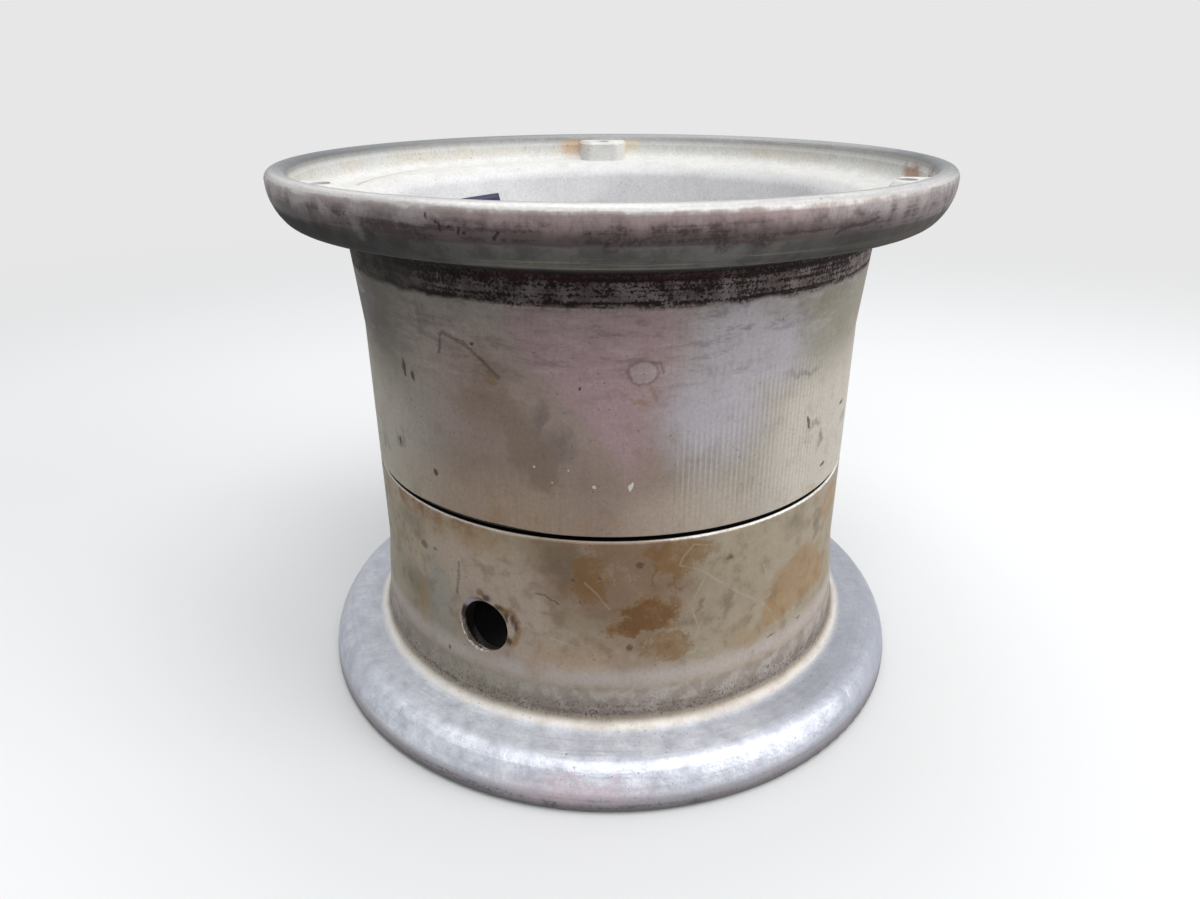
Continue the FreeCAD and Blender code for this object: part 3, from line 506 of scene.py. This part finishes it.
def inner_face(s):
    """Inside the rim: pale etched metal, bluer deeper down, with stains beside the cover bosses and painted
    shade on the lip's rounded inner edge.
    """
    steps = (s.turn - BOSS_TURN) / BOSS_STEP
    near_boss = s.join((steps - steps.maths("ROUND")) * BOSS_STEP, s.deep, 0.0)
    near_boss = s.vector("ADD", near_boss, s.vector("MULTIPLY_ADD", s.push, (3, 3, 0), (-1.5, -1.5, 0)))

    def by_boss(*oval):
        return s.oval(near_boss, *oval).rise(1.5, 0.5)

    wall = s.radius.rise(87.0, 88.6)
    hub = s.radius.rise(46, 42)
    return s.paint(
        s.mix(s.blotch.rise(0.35, 0.7), tone(220, 219, 216), tone(210, 208, 204)),
        (s.deep.rise(9.2, 12.5) * 0.9,
         s.mix(s.cloud.rise(0.4, 0.6), tone(248, 247, 248), tone(236, 235, 237))),
        (hub * 0.6, s.mix(s.hoop.rise(0.4, 0.6), tone(204, 204, 202), tone(182, 181, 178))),
        (wall * 0.6, s.mix(s.cloud.rise(0.4, 0.62), tone(206, 206, 202), tone(204, 196, 182))),
        # painted shade on the lip's rounded inner edge, toning down the light it catches
        (s.radius.rise(89.0, 89.5) * 0.7, tone(176, 180, 180)),
        (wall * s.streak.rise(0.52, 0.7) * 0.35, tone(160, 146, 124)),
        (by_boss(7.6, 3.5, 2.4, 3.4) * 0.55, tone(208, 168, 122)),
        (by_boss(-7.0, 3.5, 2.0, 3.4) * 0.45, tone(222, 206, 172)),
        (s.specks * 0.7, tone(110, 96, 84)))


def upper_stains(s, inside):
    """Rust on the lip's wall beside the right boss, and a scuff above the sticker."""
    far_side = s.stain(s.loose, 0.5, (91, 151.8, 6.0, 2.8)) * s.radius.rise(*LIP_WALL)
    return s.paint(
        inside,
        (far_side * s.fine.rise(0.3, 0.6, 0.5, 1) * 0.8, tone(152, 100, 60)),
        (s.stain(s.loose, 0.5, (79.5, 154, 4.0, 3.0)) * s.radius.rise(*LIP_WALL)
         * s.streak.rise(0.4, 0.55) * 0.8, tone(104, 74, 58)),
        (s.turn.rise(-94, -97) * s.turn.rise(-132, -126)
         * (s.radius + s.turn * 0.16).distance_to(62.0).rise(0.55, 0.2)
         * s.deep.rise(8.0, 8.5) * 0.6, tone(166, 124, 96)))


def upper_seat(s):
    """The long half's bead seat: black rubber rubbed in, with bare patches, and painted shadow near black at
    its top under the flange.
    """
    lines = s.z.distance_to(138.2).rise(0.8, 0.1).larger(s.z.distance_to(132.4).rise(0.8, 0.1))
    black = (s.rub * 0.5 + s.patch * 0.22 + s.hoop * 0.3 + s.z.rise(133, 140) * 0.03
             + lines * 0.05).rise(0.55, 0.495)
    return s.paint(
        s.mix(black, s.mix(s.fine.rise(0.42, 0.56), tone(56, 44, 42), tone(30, 24, 22)),
              s.mix(s.blotch.rise(0.4, 0.6), tone(150, 138, 137), tone(118, 104, 102))),
        (s.z.rise(136.5, 138.5) * s.turn.distance_to(0).rise(30, 14) * s.hoop.rise(0.6, 0.4, 0.2, 0.75),
         tone(76, 36, 40)),
        (s.turn.rise(-28, -44) * 0.75, s.mix(s.blotch.rise(0.4, 0.6), tone(84, 82, 76), tone(60, 58, 54))),
        (s.z.distance_to(131.2).rise(0.5, 0.1) * s.turn.rise(-34, -26) * s.turn.rise(6, -4)
         * s.fine.rise(0.4, 0.5) * 0.7, tone(214, 206, 200)),
        # dark lines of rubber in hoops, and painted shadow near black at the top of the seat under the flange
        ((lines * s.hoop.rise(0.5, 0.62) * 0.8).larger(s.deep.rise(19.0, 16.6) * 0.95), tone(18, 14, 14)))


def lower_seat(s):
    """The short half's bead seat: pale, with rubber rubbed in low down."""
    low = (s.deep + s.patch * 8).rise(27.5, 21.5)
    return s.paint(
        s.mix(s.patch.rise(0.42, 0.6), tone(166, 154, 144), tone(186, 176, 168)),
        (s.zone(-60, -20, 10, 30, 8, 3) * 0.35, tone(146, 140, 116)),
        (low * s.turn.rise(-26, -8, 0.15, 0.5), tone(112, 100, 92)),
        ((s.rub * 0.7 + s.hoop * 0.3).rise(0.52, 0.58) * low * 0.6, tone(70, 62, 56)),
        ((s.rub * 0.5 + s.streak * 0.2 + s.patch * 0.3).rise(0.54, 0.6) * s.deep.rise(24.5, 21) * 0.7,
         tone(48, 43, 40)),
        ((s.deep + s.blotch * 1.5).distance_to(18.4).rise(0.9, 0.2) * s.fine.rise(0.45, 0.55) * 0.5,
         tone(80, 70, 64)))


def upper_flange(s):
    """Side, crest and fillet of the long half's flange: marked by the tyre, with painted shade low on the
    side, under it and in the fillet, a painted sheen across the underside, and painted shade on the crest
    towards its sides and back.
    """
    right = s.turn.rise(24, 60) * s.turn.rise(150, 100)
    side = s.paint(
        s.mix(s.blotch.rise(0.35, 0.65), tone(174, 165, 164), tone(154, 145, 145)),
        (s.turn.rise(-30, -8) * s.turn.rise(36, 18) * 0.6, tone(168, 142, 142)),
        (s.blotch.rise(0.44, 0.6) * 0.4, tone(140, 122, 122)),
        # painted shade: the side darker low down as it turns under, less so on the right
        ((s.deep + s.blotch * 4).rise(4.4, 8.4) * right.rise(0, 1, 0.85, 0.5), tone(92, 78, 78)),
        (s.streak.rise(0.5, 0.66) * s.deep.rise(1.8, 3.4) * s.deep.rise(8.5, 7) * 0.2, tone(84, 68, 66)),
        # dark smudges and painted shade, patchy, low on the side where it turns under
        ((s.hoop * 0.4 + s.fine * 0.25 + s.blotch * 0.35).rise(0.49, 0.56)
         * (s.deep + s.blotch * 3).rise(4.2, 6.4) * s.deep.rise(8.8, 8.0) * 0.6, tone(52, 40, 40)),
        # the underside: grey with painted shade, deeper to the left and right of the front, and a painted
        # sheen band in hoops on its lower part
        ((s.deep + s.blotch * 1.4).rise(8.4, 9.2) * right.rise(0, 1, 1.0, 0.85), s.paint(
            s.mix(s.blotch.rise(0.4, 0.6), tone(144, 141, 137), tone(124, 121, 117)),
            (s.deep.rise(10, 11) * s.hoop.rise(0.5, 0.62) * s.turn.rise(-24, -10) * 0.55,
             tone(186, 184, 166)),
            (s.turn.rise(-12, -34) * 0.7, tone(70, 69, 69)),
            (s.turn.rise(-40, -56) * 0.5, tone(48, 47, 47)),
            (s.turn.rise(12, 34) * 0.75, tone(74, 71, 68)))),
        # painted shade low on the left of the side
        (s.turn.rise(-36, -60) * s.deep.rise(4, 7) * 0.7, tone(58, 56, 57)),
        (s.turn.distance_to(0).rise(44, 74) * 0.45, tone(108, 106, 104)),
        (s.stain(s.loose, 0.7, (13.7, 149.5, 3.4, 1.6), (18.5, 149, 3.0, 1.4), (-31.4, 150.2, 2.0, 1.0),
                 (-25, 149.8, 2.4, 1.4), (2, 150, 8, 1.2)) * s.fine.rise(0.35, 0.55) * 0.75,
         tone(64, 52, 52)),
        (s.stain(s.tight, 0.6, (-22.6, 153.6, 0.3, 0.6), (-21.4, 152.6, 0.4, 0.5), (-20.9, 151.8, 0.3, 1.0),
                 (-19.6, 151.6, 0.4, 0.3), (-18.4, 151.0, 0.25, 0.8), (-17.6, 150.6, 0.35, 0.4),
                 (-13.6, 150.4, 1.0, 0.3, 60)) * 0.85, tone(36, 30, 30)),
        (s.stroke(s.tight, 0.7, (29.6, 149.2), (31.4, 150.3), (34, 150.4), (36.6, 151.4)) * 0.7,
         tone(58, 50, 52)),
        (s.stroke(s.tight, 2.2, (-34.9, 156), (-34.4, 148)) * s.fine.rise(0.3, 0.5) * 0.25,
         tone(206, 200, 198)))
    crest = s.paint(
        s.mix(s.hoop.rise(0.35, 0.65), tone(206, 204, 202), tone(186, 184, 182)),
        (s.radius.rise(93.6, 92.2) * 0.8, tone(154, 157, 158)),
        # painted shade on the crest towards its sides and back, deepest at the back left
        (s.turn.distance_to(0).rise(50, 78) * s.turn.distance_to(0).rise(118, 92) * 0.75,
         tone(110, 113, 116)),
        (s.behind * s.x.rise(90, -90, 0.1, 0.8), tone(112, 116, 118)),
        ((s.deep + s.blotch * 1.2).distance_to(2.3).rise(0.7, 0.2) * s.blotch.rise(0.35, 0.55) * 0.55,
         tone(132, 104, 94)))
    # painted shadow in the fillet under the flange
    fillet = tone(34, 30, 28)
    return side, crest, fillet


def lower_flange(s):
    """Side, crest and fillet of the short half's flange: rubbed bright, with painted shade at the sides, down
    towards the floor and on the crest that rests on it.
    """
    side = s.paint(
        s.mix(s.blotch.rise(0.35, 0.65), tone(230, 233, 241), tone(214, 218, 228)),
        (s.hoop.rise(0.5, 0.68) * 0.4, tone(182, 184, 194)),
        ((s.blotch * 0.6 + s.fine * 0.4).rise(0.5, 0.6) * 0.3, tone(178, 178, 186)),
        (s.blotch.rise(0.46, 0.34) * 0.4, tone(246, 248, 255)),
        ((s.fine * 0.5 + s.blotch * 0.5).rise(0.54, 0.64) * 0.3, tone(164, 164, 170)),
        (s.streak.rise(0.54, 0.7) * 0.2, tone(160, 156, 160)),
        # painted shade on the right and left of the side, and low on the right, keeping the highlight to the
        # front
        (s.turn.rise(12, 50) * s.turn.rise(150, 110) * 0.75, tone(158, 161, 172)),
        (s.turn.rise(-36, -60) * 0.5, tone(172, 175, 184)),
        (s.turn.rise(20, 50) * s.turn.rise(150, 110) * s.deep.rise(6, 3) * 0.5, tone(110, 106, 108)),
        # painted shade: the side darker down towards the floor
        ((s.deep + s.blotch * 3).rise(9.0, 5.8) * 0.8, tone(156, 150, 155)),
        ((s.deep + s.blotch * 3).rise(6.2, 3.4) * 0.8, tone(112, 106, 106)),
        ((s.hoop * 0.5 + s.fine * 0.5).rise(0.52, 0.6) * s.deep.rise(6.5, 4) * 0.5, tone(66, 62, 64)),
        (s.stain(s.loose, 0.7, (-5, 7, 14, 3.0)) * 0.4, tone(222, 188, 196)),
        (s.stain(s.loose, 0.6, (-9.8, 1.6, 2.6, 1.6), (15.3, 2, 2.2, 1.4)) * 0.6, tone(64, 60, 66)))
    # painted shade on the crest, the edge that rests on the floor
    crest = tone(120, 116, 114)
    fillet = s.paint(
        s.mix(s.blotch.rise(0.4, 0.65), tone(242, 236, 228), tone(220, 213, 206)),
        (s.turn.rise(4, 24) * 0.35, tone(200, 192, 188)),
        (s.turn.rise(-8, -28) * 0.5, tone(255, 252, 246)),
        (s.hoop.rise(0.56, 0.66) * 0.5, tone(240, 238, 230)),
        (s.fine.rise(0.55, 0.7) * 0.4, tone(150, 142, 134)))
    return side, crest, fillet


CHATTER_PITCH = 1.15


def chatter_marks(s, colour):
    """Faint upright ribs that a chattering tool left at the right of the long half's well: bumped, with a
    painted highlight on each crest and painted shade between.
    """
    fade = (s.z.rise(72, 80) * (s.z - s.turn.rise(20, 32) * 12).rise(106, 96) * s.turn.rise(11, 15)
            * s.turn.rise(56, 44) * s.streak.rise(0.3, 0.6) * s.cloud.rise(0.3, 0.5))
    wave = (s.turn * (360 / CHATTER_PITCH) * math.radians(1)).maths("SINE")
    s.dent(wave * fade, 0.4, 0.06)
    return s.paint(
        colour,
        # painted highlight on each rib's crest and painted shade between the ribs, on top of the bump
        (wave.rise(0.1, 1) * fade * 0.17, tone(250, 246, 232)),
        (wave.rise(0.1, -1) * fade * 0.10, tone(110, 100, 90)))


def casting(name, upper):
    """Worn aluminium of one half: pale inside, dull in the tyre well, rubbed bright on the lower flange."""
    s = Rim(name, upper)
    inside, shown = inner_face(s), s.outside
    if upper:
        inside = upper_stains(s, inside)
        well = upper_marks(s, upper_well(s))
        seat, (side, crest, fillet) = upper_seat(s), upper_flange(s)
        dark_streaks, pale_streaks, fillet_radii = (0.15, 0.03), (0.15, 0.03), (78.2, 76.6)
        seam_shade = s.z.rise(*UPPER_SEAM)
    else:
        bore = valve_bore(s)
        shown = shown.larger(bore)
        well = valve_mouth(s, lower_marks(s, lower_well(s)), bore)
        seat, (side, crest, fillet) = lower_seat(s), lower_flange(s)
        dark_streaks, pale_streaks, fillet_radii = (0.08, 0.0), (0.06, 0.0), (78.8, 76.8)
        seam_shade = s.z.rise(*LOWER_SEAM) * s.radius.rise(*SEAM_EDGE)
    well = s.paint(
        well,
        (s.streak.rise(0.48, 0.72) * s.cloud.rise(0.3, 0.7, *dark_streaks), tone(96, 86, 78)),
        (s.streak.rise(0.44, 0.26) * s.blotch.rise(0.3, 0.7, *pale_streaks), tone(214, 206, 196)),
        (s.blotch.rise(0.5, 0.74) * 0.2, tone(110, 96, 82)),
        (s.specks * 0.6, tone(74, 60, 48)))
    flange = s.paint(
        side,
        ((s.radius - s.blotch * 3).rise(*fillet_radii), fillet),
        (s.deep.rise(2.3, 1.6), crest),
        (s.specks * 0.6, tone(70, 60, 56)))
    colour = s.mix(shown, inside, s.paint(well, (s.seat, seat), (s.flange, flange)))
    colour = s.paint(
        colour,
        # painted shadow in the seam's gap, on the land inside each half's edge
        (seam_shade * s.radius.rise(*SEAM_LAND), SEAM_SHADOW),
        (s.fine.rise(0.3, 0.7, 0.16, 0.0), tone(60, 54, 50)))

    bright = s.flange * s.deep.rise(14.6, 12.5) * (0.5 if upper else 1.0)
    if upper:
        bright = bright * s.deep.rise(8, 2)
    s.dent(s.fine * 0.5 + s.blotch * 0.5, 0.3, 0.25)
    if upper:
        colour = chatter_marks(s, colour)
    s.dent(s.blotch, bright * 0.5, 1.2)
    roughness = s.outside.rise(0, 1, 0.6, 0.52) - bright * 0.02 + (s.blotch - 0.5) * 0.25
    if upper:
        roughness = roughness + (s.flange * s.deep.rise(6.5, 9)).larger(s.seat * 0.8) * 0.4
    return s.finish(colour, roughness, s.outside.rise(0, 1, 0.05, 0.2) + bright * 0.55, specular=0.2)


# ---------------------------------------------------------------------------------------------
# metals and felt of the small parts


def ground_steel():
    """Rings and rollers: bright ground steel with an amber film of old grease."""
    s = Shader("ground_steel")
    film = s.noise(5, detail=4)
    rings = s.noise(0.4, at=s.join(s.radius, s.z, 0.0), detail=3)
    colour = s.mix(film.rise(0.42, 0.68) * 0.6, tone(196, 197, 200), tone(142, 116, 74))
    colour = s.mix(rings.rise(0.4, 0.7) * 0.3, colour, tone(120, 120, 122))
    return s.finish(colour, film.rise(0.3, 0.7, 0.18, 0.42), 1.0)


def dull_metal(name, light, dark, roughness, metallic=0.9):
    """Pressed or plated steel, darker in patches."""
    s = Shader(name)
    patch = s.noise(3.5, detail=5, roughness=0.65)
    fine = s.noise(0.7, detail=3)
    colour = s.mix(patch.rise(0.36, 0.66), light, dark)
    colour = s.mix(fine.rise(0.58, 0.74) * 0.3, colour, tone(64, 52, 42))
    s.dent(fine, 0.2, 0.05)
    return s.finish(colour, patch.rise(0.3, 0.7, roughness - 0.08, roughness + 0.12), metallic)


def greasy_felt():
    """Brown felt, soaked dark with grease in patches."""
    s = Shader("greasy_felt")
    fibre = s.noise(0.5, detail=5, roughness=0.75, stretch=(1, 1, 0.4))
    patch = s.noise(6, detail=3)
    colour = s.mix(fibre.rise(0.3, 0.7), tone(70, 58, 44), tone(128, 110, 84))
    colour = s.mix(patch.rise(0.45, 0.65) * 0.7, colour, tone(48, 38, 28))
    s.dent(fibre, 0.9, 0.4)
    return s.finish(colour, patch.rise(0.4, 0.65, 0.95, 0.5), 0.0)


materials = {
    "bearing_steel": ground_steel(),
    "cage_steel": dull_metal("cage_steel", tone(158, 150, 136), tone(110, 96, 76), 0.38),
    "spring_steel": dull_metal("spring_steel", tone(96, 96, 98), tone(62, 60, 60), 0.4),
    "seal_steel": dull_metal("seal_steel", tone(186, 184, 178), tone(148, 142, 130), 0.34),
    "felt": greasy_felt(),
    "fastener_steel": dull_metal("fastener_steel", tone(196, 182, 140), tone(156, 140, 104), 0.34),
}
for entry in frame["record"]["subparts"]:
    mesh = frame["nodes"][entry["node"]].data
    mesh.materials.clear()
    if entry["material_slot"] == "casting":
        mesh.materials.append(casting(entry["node"], upper=entry["node"].startswith("upper")))
    else:
        mesh.materials.append(materials[entry["material_slot"]])

# ---------------------------------------------------------------------------------------------
# small pieces that the solids leave out


def new_piece(name, bm, material, rides="wheel"):
    mesh = bpy.data.meshes.new(name)
    bmesh.ops.recalc_face_normals(bm, faces=bm.faces)
    for face in bm.faces:
        face.smooth = True
    bm.to_mesh(mesh)
    bm.free()
    mesh.materials.append(material)
    piece = bpy.data.objects.new(name, mesh)
    bpy.context.scene.collection.objects.link(piece)
    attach(piece, rides)
    return piece


# turns in degrees and the rest in millimetres; the top corner at the first end is drawn in a little
STICKER_TURNS = (-146.0, -113.0)
STICKER_TOP = 139.1
STICKER_HIGH = 24.0
STICKER_TILT = -0.042
STICKER_THICK = 0.14
STICKER_LIFT = 0.02
STICKER_CELLS = (30, 14)
CORNER_TURN = 0.9
CORNER_HIGH = 5
RAY_START = 40


def sticker():
    """A blank blue inspection sticker on the wall inside the long half."""
    node = frame["nodes"]["upper_wheel_half"]
    skin = BVHTree.FromPolygons([node.matrix_world @ v.co for v in node.data.vertices],
                                [list(face.vertices) for face in node.data.polygons])

    def spot(along, down, lift):
        turn = STICKER_TURNS[0] + along * (STICKER_TURNS[1] - STICKER_TURNS[0])
        turn += CORNER_TURN * max(0, 1 - down * STICKER_HIGH / CORNER_HIGH) * max(0, 1 - 4 * along)
        z = STICKER_TOP + STICKER_TILT * along * (STICKER_TURNS[1] - STICKER_TURNS[0]) - down * STICKER_HIGH
        outward = Vector((math.sin(math.radians(turn)), -math.cos(math.radians(turn)), 0))
        hit = skin.ray_cast(outward * RAY_START * MM + Vector((0, 0, z * MM)), outward)[0]
        return hit - outward * lift * MM

    across, rows = STICKER_CELLS
    bm = bmesh.new()
    grid = [[[bm.verts.new(spot(i / across, j / rows, lift)) for j in range(rows + 1)]
             for i in range(across + 1)] for lift in (STICKER_LIFT, STICKER_LIFT + STICKER_THICK)]
    for i in range(across):
        for j in range(rows):
            for layer in grid:
                bm.faces.new((layer[i][j], layer[i + 1][j], layer[i + 1][j + 1], layer[i][j + 1]))
    edge = ([(i, 0) for i in range(across)] + [(across, j) for j in range(rows)]
            + [(i, rows) for i in range(across, 0, -1)] + [(0, j) for j in range(rows, 0, -1)])
    for (i, j), (m, n) in zip(edge, edge[1:] + edge[:1]):
        bm.faces.new((grid[0][i][j], grid[0][m][n], grid[1][m][n], grid[1][i][j]))
    s = Shader("blue_sticker")
    rub = s.noise(3, detail=5, roughness=0.7)
    colour = s.mix(rub.rise(0.45, 0.7) * 0.6, tone(40, 42, 84), tone(92, 96, 132))
    colour = s.mix(s.z.rise(STICKER_TOP - 2.6, STICKER_TOP - 2.2) * 0.4, colour, tone(22, 24, 44))
    return new_piece("inspection_sticker", bm, s.finish(colour, rub.rise(0.3, 0.7, 0.35, 0.6), 0.0))


THREAD_PITCH = 1.06
THREAD_RISE = 0.28
BOLT_RADIUS = 4.7625
BOLT_POINT = 1.0
THREAD_STEPS = 32
THREAD_SUNK = 0.1
THREAD_WIDE = 0.8 * THREAD_PITCH


def thread(number):
    """The thread on the end of a bolt that stands out of its nut: a ridge wound around the shank."""
    bolt, nut = box_mm(f"through_bolt_{number}"), box_mm(f"lock_nut_{number}")
    middle = (nut[0] + nut[1]) / 2
    foot, top = nut[1].z + THREAD_SUNK, bolt[1].z - BOLT_POINT
    wound = (top - foot - THREAD_WIDE) / THREAD_PITCH
    root = BOLT_RADIUS - THREAD_SUNK
    bm = bmesh.new()
    profile = [bm.verts.new(Vector((middle.x + across, middle.y, foot + up)) * MM) for across, up in (
        (root, 0.0), (BOLT_RADIUS + THREAD_RISE, THREAD_WIDE / 2), (root, THREAD_WIDE))]
    edges = [bm.edges.new((profile[n], profile[n - 1])) for n in range(3)]
    steps = round(wound * THREAD_STEPS)
    last = bmesh.ops.spin(bm, geom=profile + edges, cent=Vector((middle.x, middle.y, 0)) * MM, axis=(0, 0, 1),
                          angle=math.tau * wound, steps=steps, dvec=(0, 0, wound * THREAD_PITCH * MM / steps))
    bm.faces.new(profile)
    bm.faces.new([item for item in last["geom_last"] if isinstance(item, bmesh.types.BMVert)])
    return new_piece(f"bolt_thread_{number}", bm, materials["fastener_steel"])


# ---------------------------------------------------------------------------------------------
# studio

CAMERA_BACK = 260.2
CAMERA_HEIGHT = 180.4
CAMERA_DIP = 24.22
CAMERA_SWING = 0.72
CAMERA_ROLL = 0.21
CAMERA_LENS = 25.47
FILM_WIDTH = 36
MIDDLE = (0, 0, 0.08)
PALE = (0.80, 0.80, 0.80)
CARPET = (0.14, 0.14, 0.14)
ROOM_LIGHT = (0.26, 0.275, 0.29)
FLOOR_FADE = (260, 900)


def studio():
    """The camera, soft lights, a pale room and a pale floor that fades into it."""
    scene = bpy.context.scene
    scene.view_settings.view_transform = "Standard"
    camera = bpy.data.objects.new("camera", bpy.data.cameras.new("camera"))
    scene.collection.objects.link(camera)
    camera.data.sensor_width = FILM_WIDTH
    camera.data.lens = CAMERA_LENS
    camera.data.clip_start = 0.01
    turned = (Matrix.Rotation(math.radians(CAMERA_SWING), 4, "Z")
              @ Matrix.Rotation(math.radians(90 - CAMERA_DIP), 4, "X")
              @ Matrix.Rotation(math.radians(-CAMERA_ROLL), 4, "Z"))
    camera.matrix_world = Matrix.Translation(Vector((0, -CAMERA_BACK, CAMERA_HEIGHT)) * MM) @ turned
    scene.camera = camera

    world = bpy.data.worlds.new("room")
    scene.world = world
    world.use_nodes = True
    room = Graph(world.node_tree)
    room.feed(room.tree.nodes["Background"].inputs["Color"], room.mix(room.seen(), ROOM_LIGHT, PALE))

    def softbox(name, place, wide, high, watts, tint=(1, 1, 1)):
        lamp = bpy.data.lights.new(name, "AREA")
        lamp.shape, lamp.size, lamp.size_y = "RECTANGLE", wide, high
        lamp.energy, lamp.color = watts, tint
        item = bpy.data.objects.new(name, lamp)
        item.location = place
        item.rotation_euler = (Vector(MIDDLE) - Vector(place)).to_track_quat("-Z", "Y").to_euler()
        scene.collection.objects.link(item)

    softbox("ceiling", (0.05, 0.05, 1.3), 1.8, 1.4, 17)
    softbox("right_window", (1.2, -0.4, 0.55), 0.8, 0.9, 9)
    softbox("front", (0.05, -1.0, 1.25), 1.5, 0.5, 6, (0.95, 0.97, 1.0))

    mesh = bpy.data.meshes.new("floor")
    bm = bmesh.new()
    bmesh.ops.create_grid(bm, x_segments=1, y_segments=1, size=6.0)
    bm.to_mesh(mesh)
    bm.free()
    floor = bpy.data.objects.new("floor", mesh)
    scene.collection.objects.link(floor)
    paint = Shader("floor")
    paint.tree.nodes.remove(paint.surface)
    seen = paint.seen()
    cloth = paint.node("ShaderNodeBsdfDiffuse", inputs=[paint.mix(seen, CARPET, PALE)])
    glow = paint.node("ShaderNodeEmission", inputs=[PALE, 1.0])
    both = paint.node("ShaderNodeMixShader", inputs=[seen * paint.radius.rise(*FLOOR_FADE), cloth, glow])
    paint.tree.links.new(both.socket, paint.output.inputs["Surface"])
    mesh.materials.append(paint.material)


sticker()
for number in (1, 2, 3):
    thread(number)
studio()
